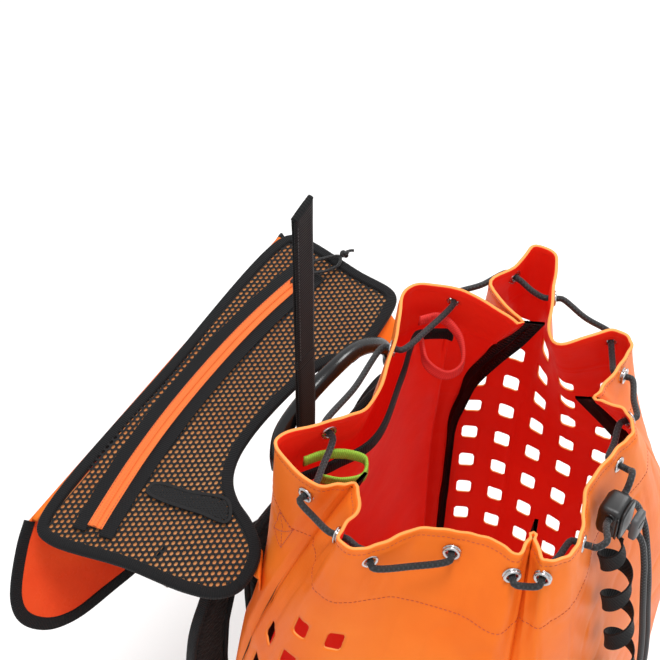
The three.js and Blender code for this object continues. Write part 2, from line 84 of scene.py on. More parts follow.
def catmull(points, step, closed=False):
    """Points every step along a centripetal Catmull-Rom curve through the given points."""
    p = np.array(points, float)
    if closed:
        q = np.vstack([p[-1], p, p[0], p[1]])
    else:
        q = np.vstack([2 * p[0] - p[1], p, 2 * p[-1] - p[-2]])
    out = []
    for a, b, c, d in zip(q, q[1:], q[2:], q[3:]):
        t0, t1 = 0.0, max(np.linalg.norm(b - a), 1e-9) ** 0.5
        t2 = t1 + max(np.linalg.norm(c - b), 1e-9) ** 0.5
        t3 = t2 + max(np.linalg.norm(d - c), 1e-9) ** 0.5
        t = np.linspace(t1, t2, 13)[:-1, None]
        a1, a2, a3 = (blend_points(t, *v) for v in ((t0, t1, a, b), (t1, t2, b, c), (t2, t3, c, d)))
        b1, b2 = blend_points(t, t0, t2, a1, a2), blend_points(t, t1, t3, a2, a3)
        out.append(blend_points(t, t1, t2, b1, b2))
    fine = np.vstack(out + [q[1:2] if closed else q[-2:-1]])
    run = distances(fine)
    want = np.linspace(0, run[-1], max(4, int(round(run[-1] / step))) + 1)
    return resample(want[:-1] if closed else want, run, fine)


def tangents(p, closed=False):
    return unit(np.roll(p, -1, 0) - np.roll(p, 1, 0) if closed else np.gradient(p, axis=0))


def frames(p, up=None, closed=False):
    """Two directions across a path. With up they follow it, else they are carried along without twist."""
    t = tangents(p, closed)
    if up is not None:
        u = np.broadcast_to(np.array(up, float), p.shape)
        w = unit(u - (u * t).sum(1, keepdims=True) * t)
        return w, np.cross(t, w)
    ref = np.array([0, 0, 1.0]) if abs(t[0][2]) < 0.9 else np.array([1.0, 0, 0])
    w = unit(ref - ref.dot(t[0]) * t[0])
    ws = [w]
    for k in range(1, len(p)):
        w = w - w.dot(t[k]) * t[k]
        w = w / np.linalg.norm(w)
        ws.append(w)
    ws = np.array(ws)
    if closed:  # spread the leftover twist
        end = ws[-1] - ws[-1].dot(t[0]) * t[0]
        end /= np.linalg.norm(end)
        twist = math.atan2(np.cross(end, ws[0]).dot(t[0]), end.dot(ws[0]))
        a = np.linspace(0, 1, len(p))[:, None] * twist
        ws = ws * np.cos(a) + np.cross(t, ws) * np.sin(a)
    return ws, np.cross(t, ws)


def mesh_object(name, verts, faces, uvs=None, material_index=None):
    """A smooth-shaded mesh. verts are in millimetres; so are uvs, one for each vertex."""
    mesh = bpy.data.meshes.new(name)
    faces = faces.tolist() if isinstance(faces, np.ndarray) else faces
    mesh.from_pydata((np.asarray(verts, float) * MM).tolist(), [], faces)
    if uvs is not None:
        layer = mesh.uv_layers.new(name="UVMap")
        loops = np.empty(len(mesh.loops), dtype=np.int32)
        mesh.loops.foreach_get("vertex_index", loops)
        layer.data.foreach_set("uv", np.asarray(uvs, float)[loops].ravel() * MM)
    mesh.polygons.foreach_set("use_smooth", np.ones(len(mesh.polygons), dtype=bool))
    if material_index is not None:
        mesh.polygons.foreach_set("material_index", np.asarray(material_index, dtype=np.int32))
    mesh.validate()
    mesh.update()
    obj = bpy.data.objects.new(name, mesh)
    bpy.context.collection.objects.link(obj)
    return obj


def loft(name, rings, closed=False):
    """A skin over rings (n, m, 3): closed joins the last ring to the first, else both ends are capped."""
    rings = np.asarray(rings, float)
    n, m, _ = rings.shape
    uv = np.stack([np.repeat(distances(rings.mean(1)), m), np.tile(distances(rings[0]), n)], 1)
    faces = []
    for i in range(n if closed else n - 1):
        a, b = i * m, (i + 1) % n * m
        faces += [(a + j, a + (j + 1) % m, b + (j + 1) % m, b + j) for j in range(m)]
    if not closed:
        faces += [tuple(range(m - 1, -1, -1)), tuple(range((n - 1) * m, n * m))]
    return mesh_object(name, rings.reshape(-1, 3), faces, uv)


def slab(name, front, back, uv=None, back_material=0):
    """A closed sheet between two grids of points (rows, columns, 3)."""
    rows, cols, _ = front.shape
    count = rows * cols
    idx = np.arange(count).reshape(rows, cols)
    quad = np.stack([idx[:-1, :-1], idx[1:, :-1], idx[1:, 1:], idx[:-1, 1:]], -1).reshape(-1, 4)
    loop = np.concatenate([idx[0, :], idx[1:, -1], idx[-1, -2::-1], idx[-2:0:-1, 0]])
    after = np.roll(loop, -1)
    side = np.stack([loop, after, after + count, loop + count], 1)
    return mesh_object(name, np.concatenate([front.reshape(-1, 3), back.reshape(-1, 3)]),
                       np.concatenate([quad, quad[:, ::-1] + count, side]),
                       None if uv is None else np.concatenate([uv, uv]),
                       np.repeat([0, back_material, 0], [len(quad), len(quad), len(side)]))


def cut_sheet(name, outer, inner, keep, under, uv=None, materials=(0, 0, 0)):
    """A sheet between two grids of points, with only the cells in keep. under is the order of an inner
    quad's corners; materials are those of the outer face, the inner face and the cut edges."""
    rows, cols, _ = outer.shape
    count = rows * cols
    idx = np.arange(count).reshape(rows, cols)
    top = np.stack([idx[:-1, :-1][keep], idx[:-1, 1:][keep], idx[1:, 1:][keep], idx[1:, :-1][keep]], 1)
    edges = {}  # an edge that two quads share is met once each way
    for quad in top.tolist():
        for a, b in zip(quad, quad[1:] + quad[:1]):
            if (b, a) in edges:
                del edges[b, a]
            else:
                edges[a, b] = True
    a, b = np.array(list(edges)).T
    cut = np.stack([b, a, a + count, b + count], 1)
    faces = np.concatenate([top, top[:, under] + count, cut])
    used, remapped = np.unique(faces, return_inverse=True)
    verts = np.concatenate([outer.reshape(-1, 3), inner.reshape(-1, 3)])[used]
    return mesh_object(name, verts, remapped.reshape(faces.shape),
                       None if uv is None else np.concatenate([uv, uv])[used],
                       np.repeat(materials, [len(top), len(top), len(cut)]))


def sweep(name, path, section, up=None, closed=False, scale=1.0):
    """Carries a closed section [(across, out)] along a path of points."""
    w, o = frames(path, up, closed)
    sec = np.array(section, float)
    s = (np.ones(len(path)) * scale)[:, None, None]
    rings = path[:, None, :] + w[:, None, :] * sec[None, :, :1] * s + o[:, None, :] * sec[None, :, 1:] * s
    return loft(name, rings, closed)


def swept(name, points, step, section, up=None, closed=False):
    """A sweep along the smooth curve through a few points."""
    return sweep(name, catmull(points, step, closed), section, up, closed)


def circle(r, n=12):
    return [(r * math.cos(2 * math.pi * k / n), r * math.sin(2 * math.pi * k / n)) for k in range(n)]


def rounded_box(w, h, r, n):
    """The outline of a rounded rectangle, from its half width, half height and corner radius."""
    points = []
    for cx, cy, a0 in ((w - r, h - r, 0), (-w + r, h - r, 90), (-w + r, -h + r, 180), (w - r, -h + r, 270)):
        for k in range(n):
            a = math.radians(a0 + 90 * k / (n - 1))
            points.append((cx + r * math.cos(a), cy + r * math.sin(a)))
    return points


def flat_section(width, thickness, edge=0.5, n=5):
    """A flat band's section with softly rounded edges."""
    return rounded_box(width / 2, thickness / 2, min(edge, thickness / 2), n)


def band_section(width, thickness, spans, edge):
    """As flat_section, with points across the width so that the band can crown."""
    top = [(width / 2 - width * k / spans, thickness / 2) for k in range(spans + 1)]
    top[0], top[-1] = ((x, thickness / 2 - edge) for x in (width / 2, -width / 2))
    return top + [(-x, -y) for x, y in top]


def rand(p, seed=0.0):
    """Smooth noise from -1 to 1 at points (..., 3)."""
    p = np.asarray(p, float)
    i = np.floor(p)
    f = p - i
    f = f * f * f * (f * (f * 6 - 15) + 10)

    def corner(dx, dy, dz):
        q = (i[..., 0] + dx) * 127.1 + (i[..., 1] + dy) * 311.7 + (i[..., 2] + dz) * 74.7 + seed * 19.19
        v = np.sin(q) * 43758.5453
        return (v - np.floor(v)) * 2 - 1
    out = 0
    for dx in (0, 1):
        for dy in (0, 1):
            for dz in (0, 1):
                share = ((f[..., 0] if dx else 1 - f[..., 0]) * (f[..., 1] if dy else 1 - f[..., 1])
                         * (f[..., 2] if dz else 1 - f[..., 2]))
                out = out + share * corner(dx, dy, dz)
    return out


def smooth(x, a, b):
    t = np.clip((x - a) / (b - a), 0, 1)
    return t * t * (3 - 2 * t)


# ============================================================ materials
class Shader:
    """A Principled material whose textures lie in object coordinates, or in the mesh's UVs, in metres."""

    def __init__(self, name, roughness=0.5, metallic=0.0, **sockets):
        self.mat = bpy.data.materials.new(name)
        self.mat.use_nodes = True
        self.nt = self.mat.node_tree
        self.bsdf = self.nt.nodes["Principled BSDF"]
        for key, value in dict(Roughness=roughness, Metallic=metallic, **sockets).items():
            self.put(self.bsdf, key, value)
        self.coord = self.nt.nodes.new("ShaderNodeTexCoord")

    def put(self, node, key, value):
        """Gives an input, by name with _ for a space or by number, a value or another node's output."""
        socket = node.inputs[key.replace("_", " ") if isinstance(key, str) else key]
        if isinstance(value, bpy.types.NodeSocket):
            self.nt.links.new(value, socket)
        else:
            socket.default_value = (*value, 1) if socket.type == "RGBA" else value

    def node(self, kind, settings=(), **inputs):
        n = self.nt.nodes.new("ShaderNode" + kind)
        for key, value in dict(settings).items():
            setattr(n, key, value)
        for key, value in inputs.items():
            self.put(n, key, value)
        return n

    def place(self, uv=False, scale=(1, 1, 1), rotation=(0, 0, 0)):
        vector = self.coord.outputs["UV" if uv else "Object"]
        return self.node("Mapping", Vector=vector, Scale=scale, Rotation=rotation).outputs["Vector"]

    def noise(self, scale, detail=3.0, rough=0.5):
        vector = self.coord.outputs["Object"]
        return self.node("TexNoise", Vector=vector, Scale=scale, Detail=detail, Roughness=rough).outputs["Fac"]

    def wave(self, pitch, vector, axis="X"):
        """Bands of that pitch in metres; DIAGONAL runs over the sum of the coordinates."""
        scale = (0.62832 if axis == "DIAGONAL" else 0.31416) / pitch
        return self.node("TexWave", {"bands_direction": axis}, Vector=vector, Scale=scale,
                         Detail=0.0).outputs["Fac"]

    def times(self, a, b):
        n = self.node("Math", {"operation": "MULTIPLY"})
        self.put(n, 0, a)
        self.put(n, 1, b)
        return n.outputs[0]

    def mix(self, fac, a, b):
        return self.node("MixRGB", Fac=fac, Color1=a, Color2=b).outputs[0]

    def ramp(self, fac, stops):
        n = self.node("ValToRGB", Fac=fac)
        elements = n.color_ramp.elements
        while len(elements) < len(stops):
            elements.new(0.5)
        for element, (at, colour) in zip(elements, stops):
            element.position = at
            element.color = (*colour, 1)
        return n.outputs["Color"]

    def colour(self, value):
        self.put(self.bsdf, "Base Color", value)

    def rough(self, fac, low, high):
        self.put(self.bsdf, "Roughness", self.node("MapRange", Value=fac, To_Min=low, To_Max=high).outputs[0])

    def bump(self, *layers):
        """layers: (height socket, strength, distance in metres)"""
        last = None
        for height, strength, distance in layers:
            b = self.node("Bump", Strength=strength, Distance=distance, Height=height)
            if last is not None:
                self.put(b, "Normal", last)
            last = b.outputs["Normal"]
        self.put(self.bsdf, "Normal", last)


def shade(colour, gain, lift=0.0):
    return tuple(min(1, gain * c + lift) for c in colour)


def tarp(name, dark, mid, light, rough=(0.36, 0.52), coat=0.0, painted_glow=0.0):
    """Coated tarpaulin: the base cloth's threads press through a satin coat, with creases and handling marks.
    Its inner face can be given an emission, a painted glow that stands in for daylight coming through the
    cloth."""
    s = Shader(name, 0.45, Specular_IOR_Level=0.13, Coat_Weight=coat, Coat_Roughness=0.3,
               Emission_Color=(0.86, 0.018, 0.010), Emission_Strength=painted_glow)
    col = s.ramp(s.noise(9, 3, 0.55), [(0.3, dark), (0.52, mid), (0.75, light)])
    s.colour(s.mix(s.times(s.noise(70, 4, 0.6), 0.16), col, shade(dark, 0.72)))
    s.rough(s.noise(35, 4, 0.6), *rough)
    threads = s.times(s.wave(0.0011, s.place(rotation=(0, 0, 0.6))), s.wave(0.0011, s.place(), "Z"))
    s.bump((s.noise(26, 4, 0.5), 0.22, 0.004), (s.noise(240, 3, 0.6), 0.12, 0.0006), (threads, 0.10, 0.0003))
    return s.mat


ORANGE = tarp("tarpaulin_outside", (0.82, 0.150, 0.012), (0.88, 0.185, 0.018), (0.92, 0.225, 0.026))
# the inside of the sack glows: painted light that brightens its inner faces
INSIDE = tarp("tarpaulin_inside", (0.74, 0.018, 0.008), (0.82, 0.028, 0.010), (0.87, 0.045, 0.014),
              (0.40, 0.55), painted_glow=0.15)
EDGE = tarp("tarpaulin_cut_edge", (0.86, 0.27, 0.06), (0.90, 0.33, 0.09), (0.93, 0.38, 0.12), (0.55, 0.7))
LID_IN = tarp("tarpaulin_lid_underside", (0.80, 0.055, 0.016), (0.88, 0.085, 0.022), (0.92, 0.12, 0.03),
              (0.22, 0.34), coat=0.35)
# the cloth under the net is a paler, tanner copy of the orange tarpaulin: painted light that makes up for the
# net's shadow on it
LID_FACE_PAINTED_LIGHTER = tarp("tarpaulin_under_the_net", (0.78, 0.27, 0.09), (0.88, 0.36, 0.13), (0.93, 0.45, 0.19),
                (0.4, 0.6))


def ribbed(name, colour, pitch, rough=0.72, across=0.0016, sheen=0.04, depth=0.0005):
    """Woven tape: cross ribs along its length and fine rows of thread across it."""
    s = Shader(name, rough, Sheen_Weight=sheen, Sheen_Roughness=0.5, Specular_IOR_Level=0.16)
    uv = s.place(uv=True)
    ribs = s.wave(pitch, uv, "X")
    rows = s.wave(across, uv, "Y")
    fuzz = s.noise(900, 3, 0.6)
    light = shade(colour, 1.9, 0.004)
    s.colour(s.mix(s.times(fuzz, 0.35), s.mix(s.times(ribs, 0.5), colour, light), light))
    s.rough(fuzz, rough - 0.12, rough + 0.12)
    s.bump((ribs, 0.55, depth), (rows, 0.35, 0.0003), (fuzz, 0.2, 0.0003))
    return s.mat


BINDING = ribbed("binding_tape", (0.0045, 0.0045, 0.0052), 0.0017, depth=0.0006)
WEBBING = ribbed("webbing", (0.0040, 0.0040, 0.0045), 0.0022, across=0.0013)
TAPE_ORANGE = ribbed("zip_tape", (0.70, 0.130, 0.028), 0.0011, 0.66, 0.0009, 0.1, 0.0002)
RED_WEB = ribbed("red_webbing", (0.62, 0.035, 0.03), 0.0016, 0.7, 0.0011)
GREEN_WEB = ribbed("green_webbing", (0.20, 0.36, 0.035), 0.0016, 0.7, 0.0011)


def braid(name, colour, light, radius, rough=0.55):
    """Braided cord: two families of strands crossing on the surface."""
    s = Shader(name, rough, Specular_IOR_Level=0.4, Sheen_Weight=0.15)
    turn = 2 * math.pi * radius
    strands = s.times(*(s.wave(1, s.place(uv=True, scale=(1 / 0.0034, way * 8 / turn / 2, 1)), "DIAGONAL")
                        for way in (1, -1)))
    s.colour(s.mix(strands, colour, light))
    s.rough(strands, rough + 0.1, rough - 0.1)
    s.bump((strands, 0.6, 0.0005), (s.noise(1500, 2), 0.15, 0.0002))
    return s.mat


CORD = braid("drawstring_cord", (0.006, 0.007, 0.008), (0.022, 0.026, 0.030), 0.0025)
THIN_CORD = braid("zip_pull_cord", (0.005, 0.0055, 0.006), (0.018, 0.019, 0.021), 0.0014)


def moulded(name, colour, rough):
    """Moulded plastic: a fine grain, with patches that are worn paler and duller."""
    s = Shader(name, rough)
    wear = s.noise(60, 4, 0.6)
    s.colour(s.mix(s.times(wear, 0.3), colour, shade(colour, 1.7, 0.01)))
    s.rough(wear, rough - 0.08, rough + 0.12)
    s.bump((s.noise(900, 3, 0.6), 0.12, 0.0003))
    return s.mat


BLACK = moulded("black_plastic", (0.0055, 0.0055, 0.006), 0.38)
GREY = moulded("grey_plastic", (0.055, 0.057, 0.06), 0.42)
PALE = moulded("pale_plastic", (0.22, 0.225, 0.23), 0.4)


def grained(name, colour, light, tone, rough, bumps, **sockets):
    """One noise, tone, varies the colour and the roughness; bumps are (noise, strength, distance)."""
    s = Shader(name, **sockets)
    n = s.noise(*tone)
    s.colour(s.mix(n, colour, light))
    if rough:
        s.rough(n, *rough)
    s.bump(*((s.noise(*of), strength, distance) for of, strength, distance in bumps))
    return s.mat


GLOSS = grained("handle_tube", (0.004, 0.004, 0.0045), (0.009, 0.009, 0.010), (55, 3, 0.5), (0.18, 0.34),
                (((18, 2), 0.25, 0.003), ((500, 2), 0.06, 0.0003)),
                roughness=0.24, Specular_IOR_Level=0.4, Coat_Weight=0.08, Coat_Roughness=0.15)
NET_BLACK = (0.0045, 0.0045, 0.005)
NET = grained("net", NET_BLACK, shade(NET_BLACK, 2.4, 0.006), (1400, 3, 0.6), (0.5, 0.75),
              (((1400, 3, 0.6), 0.5, 0.0005),), roughness=0.62, Sheen_Weight=0.03, Specular_IOR_Level=0.2)
ORANGE_THREAD, BLACK_THREAD = (
    grained(name, colour, shade(colour, 0.7), (2500, 2), None, (((2500, 2), 0.3, 0.0002),),
            roughness=0.6, Sheen_Weight=0.2)
    for name, colour in (("orange_thread", (0.62, 0.085, 0.012)), ("black_thread", (0.03, 0.03, 0.032))))


def metal(name, colour, low, high, scratches=0.1):
    s = Shader(name, low, 1.0)
    n = s.noise(420, 3, 0.6)
    s.colour(s.mix(s.noise(90, 3), colour, shade(colour, 0.72)))
    s.rough(n, low, high)
    s.bump((n, scratches, 0.0002))
    return s.mat


NICKEL = metal("eyelet_metal", (0.62, 0.62, 0.63), 0.18, 0.36)
CHROME = metal("hook_metal", (0.78, 0.79, 0.80), 0.08, 0.2, 0.05)


def spacer(name):
    """Padded back: a knitted face with small round cells."""
    s = Shader(name, 0.8, Sheen_Weight=0.05, Specular_IOR_Level=0.15)
    cells = s.node("TexVoronoi", {"feature": "SMOOTH_F1"}, Vector=s.coord.outputs["Object"], Scale=330)
    d = cells.outputs["Distance"]
    s.colour(s.ramp(d, [(0.1, (0.003, 0.003, 0.0035)), (0.6, (0.012, 0.012, 0.013))]))
    s.rough(d, 0.7, 0.9)
    s.bump((d, 0.7, 0.0012), (s.noise(30, 3), 0.2, 0.004))
    return s.mat


PADDING = spacer("padding")


def give(obj, material, body, slot, *nodes):
    """Dresses a piece: its material, its body and the CAD nodes it stands for. slot is not used."""
    for m in material if isinstance(material, list) else [material]:
        obj.data.materials.append(m)
    if body:
        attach(obj, body)
    if nodes:
        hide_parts(*nodes)
    return obj


def joined(name, objects):
    """One object out of several, keeping their meshes and UVs."""
    bpy.ops.object.select_all(action="DESELECT")
    for o in objects:
        o.select_set(True)
    bpy.context.view_layer.objects.active = objects[0]
    bpy.ops.object.join()
    objects[0].name = name
    return objects[0]


# ============================================================ the sack's surface
EYELETS = 16
EYELET_GAP = 75.0  # cloth from one eyelet to the next
EYELET_Z = 584.0
RIM_HEIGHT, FLARE = 600.0, 300.0  # the gathered mouth, and how far down the sack it shows
HEM_Z, RIM_STITCH_Z = 541.0, 594.5
SKIN = 1.5
# the mouth from above: eyelet position, x, y
RIM = [
    (1, -134, 70), (1.5, -119, 46), (1.75, -133, 32), (2, -147, 33), (2.35, -163, 30), (2.65, -164, 16),
    (3, -153, 5), (3.5, -127, -11), (4, -114, -36), (4.5, -107, -58), (5, -108, -78), (5.5, -88, -78),
    (6, -103, -93), (6.5, -90, -106), (7, -66, -104), (7.5, -32, -91), (8, 10, -93), (8.5, 34, -95),
    (9, 50, -80), (9.5, 50, -59), (10, 86, -60), (10.5, 115, -57), (11, 120, -36), (11.5, 84, -6),
    (12, 137, 20), (12.35, 172, 37), (12.65, 173, 58), (13, 143, 59), (13.25, 113, 66), (13.5, 88, 26),
    (13.75, 93, 57), (14, 95, 84), (14.5, 73, 119), (15, 20, 98), (15.5, -46, 77), (16, -78, 92),
    (16.5, -115, 115),
]
SEAMS = (1.5, 5.5, 9.5, 13.5)  # eyelet positions of the four upright seams


def rim_table():
    def knot(k):
        a, x, y = RIM[k % len(RIM)]
        return np.array([a + EYELETS * (k // len(RIM)), x, y], float)
    t = np.linspace(0, 1, 25)[:-1]
    hermite = [2 * t**3 - 3 * t**2 + 1, t**3 - 2 * t**2 + t, -2 * t**3 + 3 * t**2, t**3 - t**2]
    table = []
    for k in range(-2, len(RIM) + 3):
        p0, p1, p2, p3 = (knot(k + j) for j in (-1, 0, 1, 2))
        h = p2[0] - p1[0]
        m1, m2 = (p2 - p0) / (p2[0] - p0[0]) * h, (p3 - p1) / (p3[0] - p1[0]) * h
        x, y = (hermite[0] * p1[c] + hermite[1] * m1[c] + hermite[2] * p2[c] + hermite[3] * m2[c]
                for c in (1, 2))
        table.append([p1[0] + h * t, x, y])
    return np.concatenate(table, 1)


RIM_U, RIM_X, RIM_Y = rim_table()
BODY_W, BODY_D, BODY_R, BODY_Y = 390.0, 270.0, 70.0, 8.0
BODY_SX, BODY_SY, BODY_ARC = BODY_W - 2 * BODY_R, BODY_D - 2 * BODY_R, BODY_R * math.pi / 2
GIRTH = 2 * (BODY_SX + BODY_SY) + 4 * BODY_ARC
NARROWING = 28.0  # cloth that the side panels give to the front and back, low down
LEFT_MIDDLE = 3.5  # eyelet position of the left side's middle


def body_table():
    pts = [(-BODY_W / 2, BODY_Y)]
    for leg, (cx, cy) in enumerate(((-1, -1), (1, -1), (1, 1), (-1, 1))):
        for k in range(25):
            a = math.pi + leg * math.pi / 2 + k / 24 * math.pi / 2
            pts.append((cx * BODY_SX / 2 + BODY_R * math.cos(a),
                        cy * BODY_SY / 2 + BODY_R * math.sin(a) + BODY_Y))
    pts = np.array(pts + pts[:1])
    run = distances(pts)
    return run / run[-1] * EYELETS + LEFT_MIDDLE, pts


BODY_U, BODY_P = body_table()


def wall(u, z):
    """Points of the sack's outer surface, in millimetres, at eyelet position u and height z."""
    u, z = np.broadcast_arrays(np.asarray(u, float), np.asarray(z, float))
    at_rim = (u - 1.0) % EYELETS + 1.0
    creep = NARROWING * (np.abs((u - 1.5) % 8 - 4) / 2 - 1)
    at_body = (u + creep / GIRTH * EYELETS - LEFT_MIDDLE) % EYELETS + LEFT_MIDDLE
    blend = np.sin(np.pi / 2 * np.clip((RIM_HEIGHT - z) / FLARE, 0, 1))
    x, y = (np.interp(at_rim, RIM_U, rim) * (1 - blend) + np.interp(at_body, BODY_U, body) * blend
            for rim, body in ((RIM_X, BODY_P[:, 0]), (RIM_Y, BODY_P[:, 1])))
    return np.stack([x, y, z], -1)


def wall_normal(u, z, flat=False):
    du = wall(u + 0.02, z) - wall(u - 0.02, z)
    dz = wall(u, np.asarray(z, float) + 1) - wall(u, np.asarray(z, float) - 1)
    if flat:
        dz = np.zeros_like(du) + np.array([0, 0, 1.0])
    return unit(np.cross(du, dz))


EYELET = {}  # each one's centre and the way out of it
for e in range(1, EYELETS + 1):
    n = wall_normal(float(e), EYELET_Z, True)
    EYELET[e] = (wall(float(e), EYELET_Z) - 1.2 * n, n)


def relief(u, z):
    """How far the cloth stands off the plain surface: soft folds, creases, puckers, seams and the hem."""
    p = wall(u, z)
    top = np.exp(-(RIM_HEIGHT - z) / 110.0)
    low = smooth(z, 560, 300)
    ring = np.stack([np.cos(u * np.pi / 8) * 190, np.sin(u * np.pi / 8) * 190, z], -1)
    d = 2.2 * top * rand(ring * [1 / 30, 1 / 30, 1 / 150], 1) * smooth(z, 604, 588)
    d = d + 2.6 * rand(ring * [1 / 85, 1 / 85, 1 / 130], 2) * (0.35 + 0.65 * low)
    crease = 1 - np.abs(rand(ring * [1 / 60, 1 / 60, 1 / 170] + 3.1, 3))
    d = d + 2.4 * (crease ** 6) * smooth(z, 600, 540) * (0.4 + 0.6 * low)
    fine = 1 - np.abs(rand(ring * [1 / 26, 1 / 26, 1 / 60] + 7.7, 4))
    d = d - 0.9 * (fine ** 8) * smooth(z, 598, 560)
    for c, _ in EYELET.values():
        d = d - 1.3 * np.exp(-(np.linalg.norm(p - c, axis=-1) / 13.0) ** 2)
    for seam in SEAMS:
        gap = np.abs((u - seam + 8) % 16 - 8) * EYELET_GAP
        d = d - 2.4 * np.exp(-(gap / 4.0) ** 2) + 0.9 * np.exp(-((gap - 9) / 4.0) ** 2)
    for line in (HEM_Z, RIM_STITCH_Z):
        d = d - 0.55 * np.exp(-((z - line) / 1.3) ** 2)
    d = d + 0.5 * smooth(z, HEM_Z - 2, HEM_Z + 1)
    d = d + 0.35 * np.sin(u * EYELET_GAP * 2 * np.pi / 21) * np.exp(-((z - RIM_HEIGHT) / 14) ** 2)
    # the foot of the sack rounds in to the base seam
    return d * smooth(z, 2, 40) - 9.0 * (1 - np.sqrt(np.clip(1 - (1 - np.clip(z / 16.0, 0, 1)) ** 2, 0, 1)))


def skin_point(u, z, off=0.0):
    """The dressed surface, moved off along its normal."""
    u, z = np.broadcast_arrays(np.asarray(u, float), np.asarray(z, float))
    return wall(u, z) + wall_normal(u, z) * (relief(u, z) + off)[..., None]


# ============================================================ cords
CORD_RADIUS = 2.5
LOCK = np.array([-21.0, -110.0, 574.0])
LOCK_LEFT, LOCK_RIGHT = LOCK[0] - 12.3, LOCK[0] + 12.3


def cord(name, route, body, node):
    """A length of drawstring, and its path."""
    path = catmull(route, 2.0)
    return give(sweep(name, path, circle(CORD_RADIUS)), CORD, body, "cord", node), path


def knot_on(name, at, direction, size):
    """An overhand knot: a trefoil pulled tight, round the point at, with its hole along direction."""
    t = np.linspace(0, 2 * np.pi, 73)[:-1]
    tre = np.stack([np.sin(t) + 2 * np.sin(2 * t), np.cos(t) - 2 * np.cos(2 * t), -1.35 * np.sin(3 * t)], 1)
    d = unit(np.array(direction, float))
    side = unit(np.cross(d, [0.3, 1, 0.1]))
    third = np.cross(d, side)
    k = size / 3.6
    path = np.array(at) + k * (tre[:, :1] * d * 0.95 + tre[:, 1:2] * side * 0.8 + tre[:, 2:] * third * 0.8)
    return sweep(name, path, circle(size * 0.36, 10), closed=True)


TAILS = {
    "left": [(LOCK_RIGHT, -112, 571), (LOCK_RIGHT + 4, -112, 571), (4, -117, 563), (8, -125, 542),
             (8, -132, 515), (8, -138, 485), (9, -142, 455), (12, -147, 415), (14, -150, 380),
             (15, -151, 345), (15, -151, 322)],
    "right": [(-11.5, -113, 559.7), (-11.5, -113, 556), (-6, -119, 548), (-2, -128, 536), (-1, -134, 512),
              (-1, -138, 485), (0, -142, 455), (2, -147, 415), (3, -150, 380), (3, -151, 345), (3, -151, 326)],
}
for side, route in TAILS.items():
    tail, path = cord("cord_tail_" + side + "_soft", route, "cord_lock", "cord_tail_" + side)
    run = float(np.linalg.norm(np.diff(path, axis=0), axis=1).sum()) * MM
    knot = knot_on("cord_knot_" + side, path[-1] + [0, 0, -3.5], (0, 0, 1), 5.6)
    give(knot, CORD, "cord_lock", "cord")

CLEAR = 7.0  # how far the lacing stands off the cloth on each side of an eyelet


def around(e, dist):
    c, n = EYELET[e]
    return c + n * dist


lacing = []
for step in range(EYELETS):
    way = 1 if step % 2 == 0 else -1
    here = [around((6 - step) % EYELETS + 1, way * d) for d in (CLEAR, 2.6, -2.6, -CLEAR)]
    if lacing:  # the span between two eyelets sags a little
        a, b = lacing[-1], here[0]
        lacing.append((a + b) / 2 + [0, 0, -1.5 - 0.02 * np.linalg.norm(a - b)])
    lacing += here
cord("drawstring_soft", lacing, "sack", "drawstring")
LEADS = {
    "left": [around(7, CLEAR + 0.3), around(7, CLEAR + 3), (-56, -119, 587), (-46, -114, 586),
             (LOCK_LEFT - 4, -111, 581), (LOCK_LEFT, -111, 581)],
    "right": [around(8, CLEAR + 0.3), around(8, CLEAR + 3), (8, -108, 589), (0, -110, 587),
              (LOCK_RIGHT + 4, -110, 582), (LOCK_RIGHT, -110, 582)],
}
for side, route in LEADS.items():
    cord("drawstring_lead_" + side + "_soft", route, "sack", "drawstring_lead_" + side)


# ============================================================ sack panels
CELL = 3.0
HOLE, HOLE_CORNER = 18.5, 3.4
HOLE_COLUMNS = [28.5 + 40.5 * k for k in range(7)]
HOLE_ROWS = [76 + 42 * k for k in range(11)]
EYELET_BORE = 4.6


def hole_centres(left):
    """The lattice of drain holes; towards the front of the sack its top rows are missing."""
    out = []
    for k, s in enumerate(HOLE_COLUMNS):
        from_front = len(HOLE_COLUMNS) - 1 - k if left else k
        for z in HOLE_ROWS:
            if z > 470 and from_front in (0, 1, 6) or left and z > 440 and from_front < 4:
                continue
            out.append((s, z))
    return out


def hole_distance(s, z, centre):
    """Signed distance to a rounded square, and the way out of it."""
    q = np.stack([np.abs(s - centre[0]), np.abs(z - centre[1])], -1) - (HOLE / 2 - HOLE_CORNER)
    outer = np.maximum(q, 0)
    d = np.linalg.norm(outer, axis=-1) + np.minimum(q.max(-1), 0) - HOLE_CORNER
    g = np.where((q > 0).any(-1, keepdims=True), outer, (q >= q.max(-1, keepdims=True)).astype(float))
    g = g / np.maximum(np.linalg.norm(g, axis=-1, keepdims=True), 1e-9)
    return d, g * np.sign(np.stack([s - centre[0], z - centre[1]], -1))


